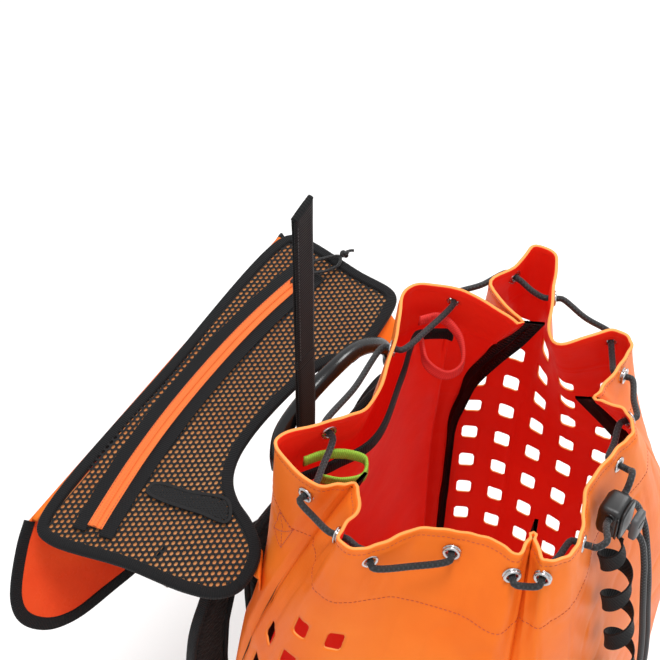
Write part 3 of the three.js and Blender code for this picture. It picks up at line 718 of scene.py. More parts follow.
def panel(name, u0, u1, holes=False):
    """One panel of the sack from seam to seam, with its bores for eyelets and its drain holes cut out."""
    z = np.concatenate([np.linspace(0.6, 16, 7), np.arange(16 + CELL, 588, CELL), np.linspace(588, 600, 7)])
    S, Z = np.meshgrid(np.linspace(0, (u1 - u0) * EYELET_GAP, int(300 / CELL) + 1), z)
    keep = np.ones((S.shape[0] - 1, S.shape[1] - 1), bool)
    if holes:
        sc = (S[:-1, :-1] + S[1:, 1:]) / 2
        zc = (Z[:-1, :-1] + Z[1:, 1:]) / 2
        for c in hole_centres(u0 < 5):  # the grid's lines are pulled onto each hole's edge
            near = (np.abs(S - c[0]) < HOLE) & (np.abs(Z - c[1]) < HOLE)
            d, g = hole_distance(S, Z, c)
            pull = near & (np.abs(d) < CELL * 0.62)
            S = np.where(pull, S - d * g[..., 0], S)
            Z = np.where(pull, Z - d * g[..., 1], Z)
            keep &= ~(hole_distance(sc, zc, c)[0] < 0)
    U = u0 + S / EYELET_GAP
    outer = skin_point(U, Z)
    thick = SKIN + 0.9 * smooth(Z, HEM_Z - 3, HEM_Z + 1)
    inner = outer - wall_normal(U, Z) * thick[..., None]
    mid = (outer[:-1, :-1] + outer[1:, 1:]) / 2
    for c, _ in EYELET.values():
        keep &= ~(np.linalg.norm(mid - c, axis=-1) < EYELET_BORE)
    obj = cut_sheet(name + "_cloth", outer, inner, keep, [0, 3, 2, 1], np.stack([S.ravel(), Z.ravel()], 1),
                    (0, 1, 2))
    give(obj, [ORANGE, INSIDE, EDGE], "sack", "tarpaulin", name)


panel("side_panel_left", 1.5, 5.5, True)
panel("front_panel", 5.5, 9.5)
panel("side_panel_right", 9.5, 13.5, True)
panel("back_panel", 13.5, 17.5)


def stitches(name, points, normals, body, slot, material, pitch=3.4, length=2.3, radius=0.34):
    """A row of stitches along a path, each a small rounded bar lying on the cloth."""
    run = distances(points)
    at = np.arange(pitch / 2, run[-1], pitch)
    p = resample(at, run, points)
    n = unit(resample(at, run, normals))
    t = tangents(p)
    w = np.cross(n, t)
    verts, faces = [], []
    for k in range(len(p)):
        base = len(verts)
        for reach, fat in ((-0.5, 0.35), (-0.36, 0.9), (0.36, 0.9), (0.5, 0.35)):
            for a in range(5):
                turn = 2 * math.pi * a / 5
                verts.append(p[k] + t[k] * reach * length + w[k] * math.cos(turn) * radius * fat
                             + n[k] * (math.sin(turn) * radius * fat + 0.12 * (fat > 0.5)))
        for first in (base, base + 5, base + 10):
            faces += [(first + a, first + b, first + 5 + b, first + 5 + a)
                      for a, b in ((0, 1), (1, 2), (2, 3), (3, 4), (4, 0))]
        faces += [tuple(range(base + 4, base - 1, -1)), tuple(range(base + 15, base + 20))]
    give(mesh_object(name, verts, faces), material, body, slot)


def sack_stitches(name, u, z, off, *sizes):
    stitches(name, skin_point(u, z, off), wall_normal(u, z), "sack", "tarpaulin", ORANGE_THREAD, *sizes)


for tag, line in (("hem", HEM_Z), ("rim", RIM_STITCH_Z)):
    sack_stitches("stitches_" + tag, np.linspace(1.5, 17.5, 1400), line, 0.1)

# the box of stitches that holds the webbing's end on the back panel
BOX_U, BOX_Z, BOX_HALF_U, BOX_HALF_Z = 1.0, 527.0, 0.155, 13.0
for k, ((u0, z0), (u1, z1)) in enumerate((((-1, -1), (1, -1)), ((1, -1), (1, 1)), ((1, 1), (-1, 1)),
                                          ((-1, 1), (-1, -1)), ((-1, -1), (1, 1)), ((-1, 1), (1, -1)))):
    run = np.linspace(0, 1, 40)
    sack_stitches("stitches_box_%d" % k, BOX_U + BOX_HALF_U * (u0 + (u1 - u0) * run),
                  BOX_Z + BOX_HALF_Z * (z0 + (z1 - z0) * run), 0.15, 2.8, 2.0, 0.36)

# base
outward = wall(np.linspace(0, EYELETS, 161)[:-1], 300.0)[:, :2] - [0, BODY_Y]
reach = np.linalg.norm(outward, axis=1, keepdims=True)
BASE = ((11.0, 4.2), (6.0, 4.2), (4.5, 2.6), (7.0, 1.0), (14.0, 0.35), (30.0, 0.2), (70.0, 0.6), (110.0, 0.9))
outlines = [[0, BODY_Y] + outward * (1 - inset / reach) for inset, _ in BASE]
rings = [np.column_stack([xy, np.full(len(xy), z)]) for xy, z in
         [*zip(outlines, (z for _, z in BASE)), *((xy, 5.2) for xy in outlines[::-1])]]
give(loft("base_cloth", rings, closed=True), ORANGE, "sack", "tarpaulin", "base_panel")

# bound seam allowances inside the corners
FIN = 12.0
for k, corner in enumerate(("back_left", "front_left", "front_right", "back_right")):
    zs = np.linspace(12, 597, 120)
    seam = np.full_like(zs, SEAMS[k])
    n = wall_normal(seam, zs, True)
    out = np.cross([0, 0, 1.0], n)
    wide = (FIN + 2.0 * smooth(zs, 420, 560) * (corner == "back_right"))[:, None]
    wobble = rand(np.stack([zs / 45, zs * 0 + k, zs * 0], 1), 11) * 1.4
    mid = wall(seam, zs) - n * 3.4 - n * (wide / 2) - out * wobble[:, None]
    sec = np.array(flat_section(1.0, 2.7, 1.2, 4))
    rings = mid[:, None] - n[:, None] * (sec[:, :1] * wide[:, None]) + out[:, None] * sec[:, 1:]
    give(loft("seam_tape_" + corner, rings), BINDING, "sack", "binding_tape", "seam_binding_" + corner)

# divider
DIV_TOP = 548.0


def divider_point(u, z, extra=0.0):
    wave = 2.2 * rand(np.stack([u * 1.4, z / 120, z * 0], -1), 21)
    return wall(u, z) - wall_normal(u, z, True) * (16.6 + extra + wave)[..., None]


cu, cz = np.meshgrid(np.linspace(13.85, 17.15, 90), np.linspace(6, DIV_TOP, 150))
divider = slab("divider_cloth", divider_point(cu, cz, 0.6), divider_point(cu, cz, -0.6),
               np.stack([cu.ravel() * EYELET_GAP, cz.ravel()], 1))
give(divider, INSIDE, "sack", "divider_fabric", "divider_panel")
top_u = np.linspace(13.83, 17.17, 160)
div_edge = sweep("divider_edge_tape", divider_point(top_u, np.full_like(top_u, DIV_TOP + 1.5)),
                 flat_section(11, 3.2, 1.4, 4), up=(0, 0, 1))
give(div_edge, BINDING, "sack", "binding_tape", "divider_binding")

# eyelets: a rolled ring's section, as radius and height
PROFILE = [(3.7, 0.0), (3.9, 1.5), (4.5, 2.15), (5.4, 2.3), (6.2, 1.8), (6.5, 1.05), (6.35, 0.7), (5.0, 0.7),
           (5.0, -0.7), (6.35, -0.7), (6.5, -1.05), (6.2, -1.8), (5.4, -2.3), (4.5, -2.15), (3.9, -1.5)]
for e, (c, n) in EYELET.items():
    side = unit(np.cross(n, [0, 0, 1.0]))
    up = np.cross(side, n)
    spokes = [side * math.cos(a) + up * math.sin(a) for a in 2 * math.pi * np.arange(32) / 32]
    ring = loft("eyelet_ring_%02d" % e, [[c + out * r + n * h for r, h in PROFILE] for out in spokes], True)
    give(ring, NICKEL, "sack", "eyelet_metal", "eyelet_%02d" % e)


# ============================================================ cord lock and coiled tape
def block(name, size, radius, centre):
    """A moulded block with a rounded outline and softened edges; it is deep along Y."""
    w, d, h = (v / 2 for v in size)
    outline = np.array([(x, 0, z) for x, z in rounded_box(w, h, radius, 5)])
    rings = []
    for t in np.linspace(-1, 1, 9):
        edge = 1 - (abs(t) ** 6) * 0.22
        rings.append(outline * [edge, 1, edge] + [0, t * d, 0])
    cap = [0.6, 1, 0.6]
    return loft(name, np.array([rings[0] * cap, *rings, rings[-1] * cap]) + centre)


shell = [
    block("cord_lock_shell", (24, 18, 28), 5, LOCK),
    swept("cord_lock_collar", [LOCK + [x, -9.2, z] for x, z in (
        (-8.5, 11.5), (8.5, 11.5), (10, 0), (8.5, -11.5), (-8.5, -11.5), (-10, 0))],
          1.2, circle(1.3, 8), closed=True),
    loft("cord_lock_wing", [[LOCK + p for p in ([x, y0, -h], [x, y1, -h], [x, y1, h], [x, y0, h])]
                            for x, y0, y1, h in ((-11.8, -6, -8, 11), (-13.0, -6.6, -8.2, 10),
                                                 (-13.9, -7.0, -8.4, 7))]),
]
for sx in (-1, 1):
    for dz in (8.2, -3.0):
        shell.append(swept("cord_lock_eye", [LOCK + [sx * 12.0, -1 + 3.3 * math.cos(a), dz + 3.3 * math.sin(a)]
                                             for a in np.linspace(0, 2 * math.pi, 9)[:-1]],
                           1.2, circle(0.7, 6), closed=True))
give(joined("cord_lock_shell", shell), BLACK, "cord_lock", "black_plastic", "cord_lock_body")
give(block("cord_lock_plate", (19.5, 1.6, 24), 4, LOCK + [0, -9.8, 0]), PALE, "cord_lock", "grey_plastic")
give(block("cord_lock_push", (15.5, 6, 21.5), 3.5, LOCK + [0, -17.3, 0]), GREY, "cord_lock_button",
     "grey_plastic", "cord_lock_button")
give(block("cord_lock_slit", (9.5, 1.2, 2.6), 1.2, LOCK + [0, -20.2, 2.5]), BLACK, "cord_lock_button",
     "grey_plastic")

COIL_PITCH, COIL_R = 44.0, 10.4
axis = catmull([(-27, -116, 558), (-27, -121, 527), (-27, -130, 480), (-27, -139, 433), (-27, -143, 390),
                (-27, -144, 352)], 1.5)
w, o = frames(axis)
arc_len = np.arange(len(axis)) * 1.5
theta = arc_len / COIL_PITCH * 2 * np.pi + 0.6
open_out = smooth(arc_len, 0, 16) * (1 - smooth(arc_len, arc_len[-1] - 16, arc_len[-1]))
turned = w * np.cos(theta)[:, None] + o * np.sin(theta)[:, None]
fine = catmull(axis + turned * (COIL_R * (0.25 + 0.75 * open_out))[:, None], 1.6)
rad = fine - resample(np.linspace(0, 1, len(fine)), np.linspace(0, 1, len(axis)), axis)
t = tangents(fine)
outw = unit(rad - (rad * t).sum(1, keepdims=True) * t)
sec = np.array(flat_section(15.0, 1.5, 0.7, 4))
turns = loft("coiled_webbing", fine[:, None, :] + np.cross(t, outw)[:, None, :] * sec[None, :, :1]
             + outw[:, None, :] * sec[None, :, 1:])
tab = swept("coil_end_tab", [(-27, -139, 356), (-27, -136, 347), (-27, -131.5, 338), (-27, -130.5, 330)], 2,
            flat_section(13, 2.4, 1, 4), up=(1, 0, 0))
coil = joined("coiled_webbing", [turns, tab])
give(coil, WEBBING, "sack", "webbing", "coiled_tape")
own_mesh(coil)


# ============================================================ loops, handle, straps
def webbing_band(name, route, up, width, thickness, step=2.5, crown=0.0):
    """A woven band along a smooth route. width is a number, or (places along the band, widths there)."""
    path = catmull(route, step)
    sec = np.array(band_section(1.0, 1.0, 6, 0.25))
    w, o = frames(path, up)
    places, widths = width if isinstance(width, tuple) else ((0, 1), (width, width))
    wide = np.interp(np.linspace(0, 1, len(path)), places, widths)
    proud = sec[:, 1:] * thickness + crown * (1 - (2 * sec[:, :1]) ** 2)
    return loft(name, path[:, None] + w[:, None] * (sec[:, :1] * wide[:, None, None]) + o[:, None] * proud)


for name, material, slot, route in (
        ("red_loop_webbing", RED_WEB, "red", [(67, 103, 576), (82, 92, 573), (84, 74, 558), (72, 64, 542),
                                              (58, 70, 540), (50, 84, 552), (57, 96, 570)]),
        ("green_loop_webbing", GREEN_WEB, "green", [(-104, 98, 576), (-90, 91, 574), (-74, 79, 567),
                                                    (-68, 67, 561), (-80, 61, 560), (-96, 69, 564),
                                                    (-107, 84, 570)])):
    give(webbing_band(name, route, (0, 0, 1), 9.5, 2.6, 2, 0.6), material, slot + "_gear_loop",
         slot + "_webbing", slot + "_gear_loop")

handle_path = catmull([(84, 139.5, 492), (84, 141, 505), (70, 144, 523), (42, 146, 540), (8, 146, 547),
                       (-24, 150, 540), (-50, 155, 522), (-62, 154, 505), (-64, 152, 492)], 2.5)
run = np.linspace(0, 1, len(handle_path))
handle = sweep("haul_handle_tube", handle_path, circle(7, 20),
               scale=0.72 + 0.28 * smooth(run, 0.03, 0.16) * (1 - smooth(run, 0.84, 0.97)))
give(handle, GLOSS, "haul_handle", "handle_tube", "haul_handle")

HAUL_X, HAUL_Y = -40.0, 140.0


def doubled_strap(name, z0, z1, slant=0.0):
    """Two layers of webbing standing face to face; slant lowers one corner of the top."""
    sec = np.array(band_section(22.0, 2.1, 8, 0.7))
    x = sec[:, 0]
    both = []
    for side in (-1, 1):
        rings = []
        for z in np.arange(z0, z1 + 0.1, 3.0):
            y = sec[:, 1] + side * 1.12 + 0.25 * side * np.sin(z / 17.0)
            top = slant * (x / 22.0) * smooth(z, z1 - 14, z1)
            rings.append(np.stack([HAUL_X + x, HAUL_Y + y, z + top], 1))
        both.append(loft(name + str(side), rings))
    return joined(name, both)


give(doubled_strap("haul_strap_lower_webbing", 440, 602.5), WEBBING, "sack", "webbing", "haul_strap_base")
upper = doubled_strap("haul_strap_upper_webbing", 609.5, 751, 7.0)
fold = swept("haul_strap_top_fold", [(HAUL_X + x, HAUL_Y, z) for x, z in (
    (-10.6, 747.5), (0, 751.2), (10.6, 754.0))], 1.5, flat_section(3.2, 4.4, 1.6, 5), up=(0, 0, 1))
upper = joined("haul_strap_upper_webbing", [upper, fold])
give(upper, WEBBING, "haul_strap_end", "webbing", "haul_strap_end")
bend = sweep("haul_strap_bend", np.array([(HAUL_X, HAUL_Y, z) for z in np.linspace(601.5, 610.5, 10)]),
             flat_section(21.6, 4.2, 0.8, 4), up=(1, 0, 0))
give(bend, WEBBING, None, "webbing")
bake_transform(bend)
zs = np.linspace(610, 742, 60)
for x in (HAUL_X - 8.6, HAUL_X + 8.6):
    for way in (-1, 1):
        line = np.column_stack([np.full((60, 2), (x, HAUL_Y + way * 2.25)), zs])
        stitches("strap_stitches_%d_%d" % (x < HAUL_X, way > 0), line, np.tile([0, way, 0.0], (60, 1)),
                 "haul_strap_end", "webbing", BLACK_THREAD, 3.2, 2.2, 0.3)


def swell(obj, pressure, cap, voxel):
    """Fills a padded piece with air in the cloth solver and keeps the shape it takes."""
    bpy.context.view_layer.objects.active = obj
    remesh = obj.modifiers.new("remesh", "REMESH")
    remesh.mode = "VOXEL"
    remesh.voxel_size = voxel * MM
    bpy.ops.object.modifier_apply(modifier="remesh")
    start = np.empty(len(obj.data.vertices) * 3)
    obj.data.vertices.foreach_get("co", start)
    cloth = obj.modifiers.new("cloth", "CLOTH")
    cloth.settings.use_pressure = True
    cloth.settings.uniform_pressure_force = pressure
    cloth.settings.effector_weights.gravity = 0
    cloth.point_cache.frame_start, cloth.point_cache.frame_end = 1, 20
    for frame_number in range(1, 21):
        bpy.context.scene.frame_set(frame_number)
    swollen = obj.evaluated_get(bpy.context.evaluated_depsgraph_get())
    got = np.empty(len(swollen.data.vertices) * 3)
    swollen.data.vertices.foreach_get("co", got)
    obj.modifiers.remove(cloth)
    bpy.context.scene.frame_set(1)
    move = (got - start).reshape(-1, 3)
    move *= np.minimum(1, cap * MM / np.maximum(np.linalg.norm(move, axis=1, keepdims=True), 1e-9))
    obj.data.vertices.foreach_set("co", (start.reshape(-1, 3) + move).ravel())
    obj.data.polygons.foreach_set("use_smooth", np.ones(len(obj.data.polygons), dtype=bool))
    obj.data.update()
    subdivision = obj.modifiers.new("subdivision", "SUBSURF")
    subdivision.levels = subdivision.render_levels = 1


def pad_mesh(name, x0, x1, z0, z1, y0, y1, corner, channels):
    """A flat pad with sewn channels across it, at the heights in channels."""
    X, Z = np.meshgrid(np.linspace(x0, x1, 47), np.linspace(z0, z1, 81))
    ex = np.minimum(X - x0, x1 - X)
    ez = np.minimum(Z - z0, z1 - Z)
    cd = np.where((ex < corner) & (ez < corner), corner - np.hypot(corner - ex, corner - ez),
                  np.minimum(ex, ez))
    body = np.sqrt(np.clip(1 - (1 - np.clip(cd / 9.0, 0, 1)) ** 2, 0, 1))
    for c in channels:
        body = body * (1 - 0.55 * np.exp(-((Z - c) / 5.0) ** 2) * smooth(cd, 4, 16))
    out = y0 + (y1 - y0) * (0.25 + 0.75 * body)
    shrink = np.clip(-cd, 0, None)  # the grid's corners are drawn in to round the pad's
    X2 = X - np.sign(X - (x0 + x1) / 2) * shrink * 0.75
    Z2 = Z - np.sign(Z - (z0 + z1) / 2) * shrink * 0.75
    return slab(name, np.stack([X2, out, Z2], -1), np.stack([X2, np.full_like(out, y0), Z2], -1))


pad = pad_mesh("back_pad_soft", -114, 114, 59, 457, 143.6, 157, 24, (140, 225, 310, 390))
swell(pad, 3.0, 3.0, 5.0)
give(pad, PADDING, "sack", "padding", "back_pad")
PIPING = [(113, 90), (113, 258), (113, 430), (88, 456), (0, 457.5), (-88, 456), (-113, 430), (-113, 258),
          (-113, 90), (-88, 60), (0, 58.5), (88, 60)]
piping = swept("back_pad_piping", [(x, 147, z) for x, z in PIPING], 4, circle(2.6, 8), closed=True)
give(piping, BINDING, "sack", "binding_tape")
LADDER_X, LADDER_Y, LADDER_Z = 142, 167, 174
for tag, s in (("left", -1), ("right", 1)):
    route = [(s * x, y, z) for x, y, z in (
        (72, 164.5, 402), (96, 166, 406), (118, 168, 400), (136, 168, 378), (146, 170, 344), (148, 172, 294),
        (147, 170, 240), (143, 166, 190))]
    up = (s * 0.5, 0, 0.85)
    strap = webbing_band("shoulder_strap_soft_" + tag, route, up,
                         ([0, 0.06, 0.85, 1], [36, 42, 42, 24]), 7.0, 4, 1.3)
    swell(strap, 2.5, 2.0, 4.0)
    give(strap, PADDING, "sack", "padding", "shoulder_strap_" + tag)
    path = catmull(route, 4)
    w, _ = frames(path, up)
    half = np.interp(np.linspace(0, 1, len(path)), [0, 0.06, 0.85, 1], [18, 21, 21, 12])
    for side in (-1, 1):
        edge = sweep("strap_edge_%s_%d" % (tag, side > 0), path + w * (half * side)[:, None],
                     flat_section(5, 9.4, 2.2, 4), up=up)
        give(edge, BINDING, "sack", "binding_tape")
    buckle = [swept("ladder_frame", [(s * LADDER_X + x, LADDER_Y, LADDER_Z + z) for x, z in (
        (-15, -9), (15, -9), (15, 9), (-15, 9))], 2.5, flat_section(3.4, 4.6, 1.4, 4), (0, 1, 0), True)]
    for z in (-4, 3):
        buckle.append(swept("ladder_bar", [(s * LADDER_X + x, LADDER_Y, LADDER_Z + z) for x in (-15, 15)], 4,
                            circle(1.9, 8)))
    give(joined("ladder_lock_moulding_" + tag, buckle), BLACK, "ladder_lock_" + tag, "black_plastic",
         "ladder_lock_" + tag)
    tail = webbing_band("lower_strap_webbing_" + tag, [(s * x, y, z) for x, y, z in (
        (142, 166, 161), (152, 160, 120), (156, 154, 80), (160, 150, 48))], (1, 0, 0), 20, 2.2)
    give(tail, WEBBING, "sack", "webbing", "lower_strap_" + tag)


# ============================================================ lid
TILT = math.radians(7.35)
LX = np.array([math.cos(TILT), 0, math.sin(TILT)])
LY = np.array([0, 1.0, 0])
LZ = np.array([-math.sin(TILT), 0, math.cos(TILT)])
LO = np.array([-24, 158, 492.5])
LID = [
    (-141, -38), (-153, -28), (-161, -6), (-169, 48), (-183, 112), (-178, 124), (0, 131), (168, 128),
    (174, 118), (166, 50), (160, 12), (150, 6), (82, 6), (78, 16), (60, 27), (30, 33), (-20, 36), (-50, 32),
    (-70, 22), (-84, 6), (-94, -14), (-108, -32), (-122, -38),
]


def on_lid(x, y, z):
    """Points in the lid's own axes: x along its hinge, y away from the sack, z up from its face."""
    x, y, z = (np.asarray(v, float)[..., None] for v in (x, y, z))
    return LO + x * LX + y * LY + z * LZ


def lid_point(x, y, lift=0.0):
    """The open lid's surface: it sags a little between its hinge and its far edge, and at the low corner."""
    x, y = np.broadcast_arrays(np.asarray(x, float), np.asarray(y, float))
    q = np.stack([x / 75, y / 60, x * 0 + 0.3], -1)
    sag = -3.2 * np.sin(np.pi * np.clip(y / 131, 0, 1)) * np.cos(np.pi * x / 420) + 1.5 * rand(q, 31)
    sag = sag - 4.0 * smooth(-x, 110, 170) * smooth(y, 90, -30)
    return on_lid(x, y, sag + lift)


def inside(x, y, poly):
    """True where points are within a polygon."""
    hit = np.zeros(np.shape(x), bool)
    for (x0, y0), (x1, y1) in zip(poly, poly[1:] + poly[:1]):
        hit ^= ((y0 > y) != (y1 > y)) & (x < (x1 - x0) * (y - y0) / ((y1 - y0) or 1e-9) + x0)
    return hit


X, Y = np.meshgrid(np.arange(-186, 178.1, 4.0), np.arange(-42, 134, 4.0))
lid = cut_sheet("lid_cloth", lid_point(X, Y, 1.6), lid_point(X, Y),
                inside((X[:-1, :-1] + X[1:, 1:]) / 2, (Y[:-1, :-1] + Y[1:, 1:]) / 2, LID), [3, 2, 1, 0])
give(lid, LID_FACE_PAINTED_LIGHTER, "lid", "lid_tarpaulin", "lid_panel")


def netting(name, outline, lift, pitch=(5.4, 4.2), hole=(1.95, 1.5), thickness=0.55):
    """Open netting over the lid: a tile with an oval hole for each mesh, in rows offset by half a pitch."""
    px, py = pitch
    poly = np.array(outline, float)
    lo, hi = poly.min(0) - 6, poly.max(0) + 6
    reach = np.linalg.norm(hi - lo) / 2 + 10
    cells = (lo + hi) / 2 + [((i + 0.5 * (j % 2)) * px, j * py)
                             for j in range(int(-reach / py), int(reach / py) + 1)
                             for i in range(int(-reach / px), int(reach / px) + 1)]
    cells = cells[inside(*cells.T, outline)]
    # a brick-shaped tile: its corners, and the places where its neighbours' corners meet it
    half = [(px / 2, 0), (px / 2, py / 2), (px / 4, py / 2), (0, py / 2), (-px / 4, py / 2), (-px / 2, py / 2)]
    outer = half + [(-x, -y) for x, y in half]
    turns = [math.atan2(y / py, x / px) for x, y in outer]
    bore = [(hole[0] * math.cos(a), hole[1] * math.sin(a)) for a in turns]
    x, y = np.moveaxis(cells[:, None, :] + np.array(outer + bore), -1, 0)
    n = len(outer)
    rise = np.where(np.arange(2 * n) < n, thickness * 0.55, thickness)  # the threads round a hole stand proud
    verts = np.concatenate([lid_point(x, y, lift + rise).reshape(-1, 3), lid_point(x, y, lift).reshape(-1, 3)])
    first = 2 * n * np.arange(len(cells))[:, None]
    under = 2 * n * len(cells)
    k = np.arange(n)
    after = (k + 1) % n

    def quads(*corners):
        return np.stack([first + c for c in corners], -1).reshape(-1, 4)
    top = quads(k, after, after + n, k + n)
    return mesh_object(name, verts, np.concatenate([
        top, top[:, ::-1] + under, quads(k + n, after + n, after + n + under, k + n + under)]))


give(netting("lid_netting", LID, 3.2), NET, "lid", "net", "lid_mesh_pocket")
lid_edge = swept("lid_edge_tape", lid_point(*np.array(LID, float).T, 2.2), 2.5, flat_section(6.4, 9.6, 2.6, 5),
                 up=LZ, closed=True)
give(lid_edge, BINDING, "lid", "binding_tape", "lid_binding")

ZIP_R, ZIP_Y = 815.0, 102.0  # the zip's arc: its radius, and its middle's place on the lid


def zip_path(offset, lift, n=140, a0=-11.2, a1=10.2):
    a = np.radians(np.linspace(a0, a1, n))
    r = ZIP_R + offset
    return lid_point(r * np.sin(a), ZIP_Y - ZIP_R + r * np.cos(a), lift)


tape = joined("zip_tape_cloth", [
    sweep("zip_tape_cloth", zip_path(0, 5.6), flat_section(1.3, 13.0, 0.5, 4), up=LZ),
    sweep("zip_coil", zip_path(0, 6.6, 420), circle(1.0, 8),
          scale=1.5 + 0.3 * np.sin(np.arange(420) * 2 * math.pi / 3.0))])
give(tape, TAPE_ORANGE, "lid", "zip_tape", "zip_tape")
for k, side in enumerate((-1, 1)):
    strip = sweep("zip_border_%d" % k, zip_path(side * 11.8, 5.0, a0=-11.6, a1=10.6),
                  flat_section(1.0, 11.5, 0.4, 4), up=LZ)
    give(strip, BINDING, "lid", "net")
    stitches("zip_stitches_%d" % k, zip_path(side * 5.2, 6.4, 200), np.tile(LZ, (200, 1)), "lid", "zip_tape",
             ORANGE_THREAD, 3.0, 2.1, 0.3)

SLIDER_ANGLE = math.radians(9.4)
SLIDER_X, SLIDER_Y = ZIP_R * math.sin(SLIDER_ANGLE), ZIP_Y - ZIP_R + ZIP_R * math.cos(SLIDER_ANGLE)


def on_slider(points):
    x, y, z = np.array(points, float).T
    return lid_point(SLIDER_X + x, SLIDER_Y + y, 6.3 + z)


slider = joined("zip_slider_moulding", [
    loft("slider_body", [on_slider([(x, y * wide, z) for y, z in (
        (-4.5, 0.2), (4.5, 0.2), (4.5, 2.2), (2.6, 3.4), (-2.6, 3.4), (-4.5, 2.2))]) for x, wide in (
            (-7, 0.72), (-5.5, 0.95), (0, 0.8), (5.2, 1.0), (7, 0.8))]),
    swept("slider_bridge", on_slider([(-4.5, 0, 3.0), (-3.0, 0, 5.0), (2.4, 0, 5.1), (4.2, 0, 3.0)]), 0.8,
          flat_section(1.3, 2.6, 0.5, 4), up=LY)])
give(slider, BLACK, "zip_slider", "black_plastic", "zip_slider")
pull_end = on_slider([(43, -22, 4.6)])[0]
pull = joined("zip_pull_cord", [
    swept("zip_pull_loop_cord", on_slider([(8.8, -3, 4), (18, -1, 4), (30, -8, 3.6), (39, -19, 3.6),
                                           (30, -23.5, 3.6), (15, -14, 3.6)]),
          1.2, circle(1.4, 10), closed=True),
    knot_on("zip_pull_end_knot", pull_end, LX * 0.8 - LY * 0.6, 4.4),
    swept("zip_pull_ends", [pull_end, pull_end + LX * 5 - LY * 2 + LZ * 0.5, pull_end + LX * 7.5 - LY * 5.0],
          1.2, circle(1.3, 8))])
give(pull, THIN_CORD, "zip_pull", "cord", "zip_pull")

STRIP = [(-110, 72), (-111, 59), (-105, 23), (-101, -1), (-85, 10), (-93, 42), (-101, 71)]
patch = joined("elastic_strip", [
    netting("elastic_strip_net", STRIP, 5.0, (2.6, 2.2), (0.5, 0.42), 0.9),
    swept("elastic_strip_edge", lid_point(*np.array(STRIP, float).T, 5.4), 2, flat_section(1.4, 3.0, 0.6, 4),
          up=LZ, closed=True)])
give(patch, NET, "lid", "net", "lid_elastic_strip")

# the hook on its tab
HOOK_X, HOOK_Y = -148, 30
tab = swept("hook_tab_webbing", [on_lid(HOOK_X, HOOK_Y, z) for z in (0.5, -5, -11, -17.5)], 2,
            flat_section(12, 2, 0.9, 4), up=LX)
give(tab, WEBBING, "lid", "webbing", "hook_tab")
hook = swept("lid_hook_wire", [on_lid(HOOK_X + x, HOOK_Y, z) for x, z in (
    (-9, -19.2), (0, -19.0), (9, -19.2), (11.2, -21.0), (10.4, -25), (6.3, -38), (3.2, -47.2), (0, -49.4),
    (-3.2, -47.2), (-6.3, -38), (-10.4, -25), (-11.2, -21.0))], 1.2, circle(1.65, 12), closed=True)
give(hook, CHROME, "lid_hook", "hook_metal", "lid_hook")

# apron: the places of its two side edges, by distance down it
LEAN = math.radians(108)
APRON_LEFT = ((2, 14, 42, 62, 88, 108, 120, 126), (-178, -196, -225, -229, -217, -193, -152, -112))
APRON_RIGHT = ((2, 70, 114, 124, 126), (172, 182, 174, 152, 140))


def apron_point(x, t, lift=0.0):
    """t runs down the apron from the lid's far edge; lift is towards its outer face."""
    x, t = np.broadcast_arrays(np.asarray(x, float), np.asarray(t, float))
    bow = 6.0 * np.sin(np.pi * np.clip(t / 126, 0, 1)) * np.cos(x / 120)
    bow = (bow + 3.0 * rand(np.stack([x / 60, t / 70, x * 0], -1), 41)) * smooth(t, 0, 25) + lift
    return on_lid(x, 140 + t * math.cos(LEAN) + bow * math.sin(LEAN),
                  -1 - t * math.sin(LEAN) - bow * math.cos(LEAN))


down, across = np.meshgrid(np.linspace(2, 126, 60), np.linspace(0, 1, 110), indexing="ij")
wide = np.interp(down, *APRON_LEFT) * (1 - across) + np.interp(down, *APRON_RIGHT) * across
apron = slab("apron_cloth", apron_point(wide, down, 0.8), apron_point(wide, down, -0.8), back_material=1)
give(apron, [ORANGE, LID_IN], "apron", "lid_tarpaulin", "lid_apron")
hem = [*zip(*APRON_LEFT), (126.5, -40), (126, 60), *list(zip(*APRON_RIGHT))[::-1]]
apron_edge = swept("apron_edge_tape", [apron_point(x, t) for t, x in hem], 2.5, flat_section(3.4, 11.0, 1.5, 5),
                   up=LY * 0.95 + LZ * -0.3)
give(apron_edge, BINDING, "apron", "binding_tape", "apron_binding")


# the strips of tarpaulin that join the lid to the sack, and the apron to the lid
def flap(name, a, b):
    """A strip of tarpaulin between two smooth curves."""
    a, b = catmull(a, 3), catmull(b, 3)
    pick = np.linspace(0, 1, min(len(a), len(b)))
    a, b = (resample(pick, np.linspace(0, 1, len(edge)), edge) for edge in (a, b))
    lift = unit(np.cross(tangents((a + b) / 2), unit(b - a))) * 1.6 / 2
    mix = np.linspace(0, 1, 8)[None, :, None]
    row = a[:, None, :] * (1 - mix) + b[:, None, :] * mix
    return loft(name, np.concatenate([row + lift[:, None, :], (row - lift[:, None, :])[:, ::-1]], 1))


BACK_U = np.linspace(13.7, 17.3, 400)


def onto_back(x, z):
    """The point of the back panel's face at that x and height."""
    return skin_point(BACK_U[np.abs(wall(BACK_U, z)[:, 0] - x).argmin()], float(z), 1.2)


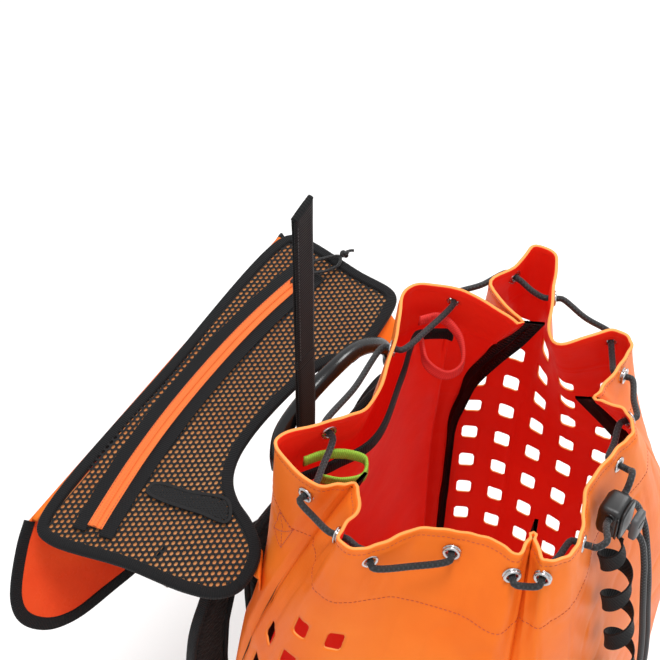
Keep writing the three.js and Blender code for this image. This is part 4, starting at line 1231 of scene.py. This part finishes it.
for tag, ends, feet in (
        ("right", ((118, 9), (148, 9)), (onto_back(93, 464), onto_back(122, 464))),
        ("left", ((-120, -35), (-97, -17)), (skin_point(17.3, 458.0, 1.2), skin_point(16.85, 458.0, 1.2)))):
    edges = []
    for (x, y), foot in zip(ends, feet):
        top, rise = lid_point(x, y, -0.9), foot + [0, 0, 14]
        edges.append([top, (top + rise) / 2 - [0, 0, 5], rise, foot])
    strip = flap("lid_join_" + tag, *edges)
    give(strip, ORANGE, None, "tarpaulin")
    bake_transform(strip)
    seam = catmull([foot + [0, 0.9, 5] for foot in feet], 2)
    stitches("stitches_join_" + tag, seam, np.tile([0, 1.0, 0], (len(seam), 1)), "sack", "tarpaulin",
             ORANGE_THREAD)

xs = np.linspace(-176, 170, 90)
fold = loft("apron_join", np.stack([
    on_lid(xs, 132.5, 0.9), on_lid(xs, 137.8, 0.6), apron_point(xs, 5.0, 0.9), apron_point(xs, 5.0, -0.9),
    on_lid(xs, 136.4, -2.0), on_lid(xs, 132.5, -0.9)], 1))
give(fold, ORANGE, None, "lid_tarpaulin")
tuple(apron_point(0.0, 5.0) * MM)
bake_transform(fold)

# ============================================================ stage
floor_mesh = bpy.data.meshes.new("floor")
floor_mesh.from_pydata([(-4, -4, 0), (4, -4, 0), (4, 4, 0), (-4, 4, 0)], [], [(0, 1, 2, 3)])
floor = bpy.data.objects.new("floor", floor_mesh)
bpy.context.collection.objects.link(floor)
pale = Shader("pale_floor", 0.9)
pale.colour(pale.mix(pale.noise(3, 2), (0.93, 0.93, 0.93), (0.95, 0.95, 0.95)))
floor.data.materials.append(pale.mat)
bpy.context.scene.view_settings.view_transform = "Standard"

world = bpy.data.worlds.new("studio")
bpy.context.scene.world = world
world.use_nodes = True
world.node_tree.nodes["Background"].inputs["Color"].default_value = (1, 1, 1, 1)
world.node_tree.nodes["Background"].inputs["Strength"].default_value = 0.82

for name, location, target, size, power in (("key", (1.9, -0.2, 2.1), (0, 0, 0.45), 0.9, 26),
                                            ("fill", (-1.2, -1.8, 1.9), (0, 0, 0.45), 1.6, 6),
                                            ("top", (-0.15, -0.1, 2.6), (0, 0, 0.4), 0.7, 24)):
    light = bpy.data.lights.new(name, "AREA")
    light.shape = "DISK"
    light.size = size
    light.energy = power
    lamp = bpy.data.objects.new(name, light)
    lamp.location = location
    lamp.rotation_mode = "QUATERNION"
    lamp.rotation_quaternion = (Vector(location) - Vector(target)).to_track_quat("Z", "Y")
    bpy.context.collection.objects.link(lamp)
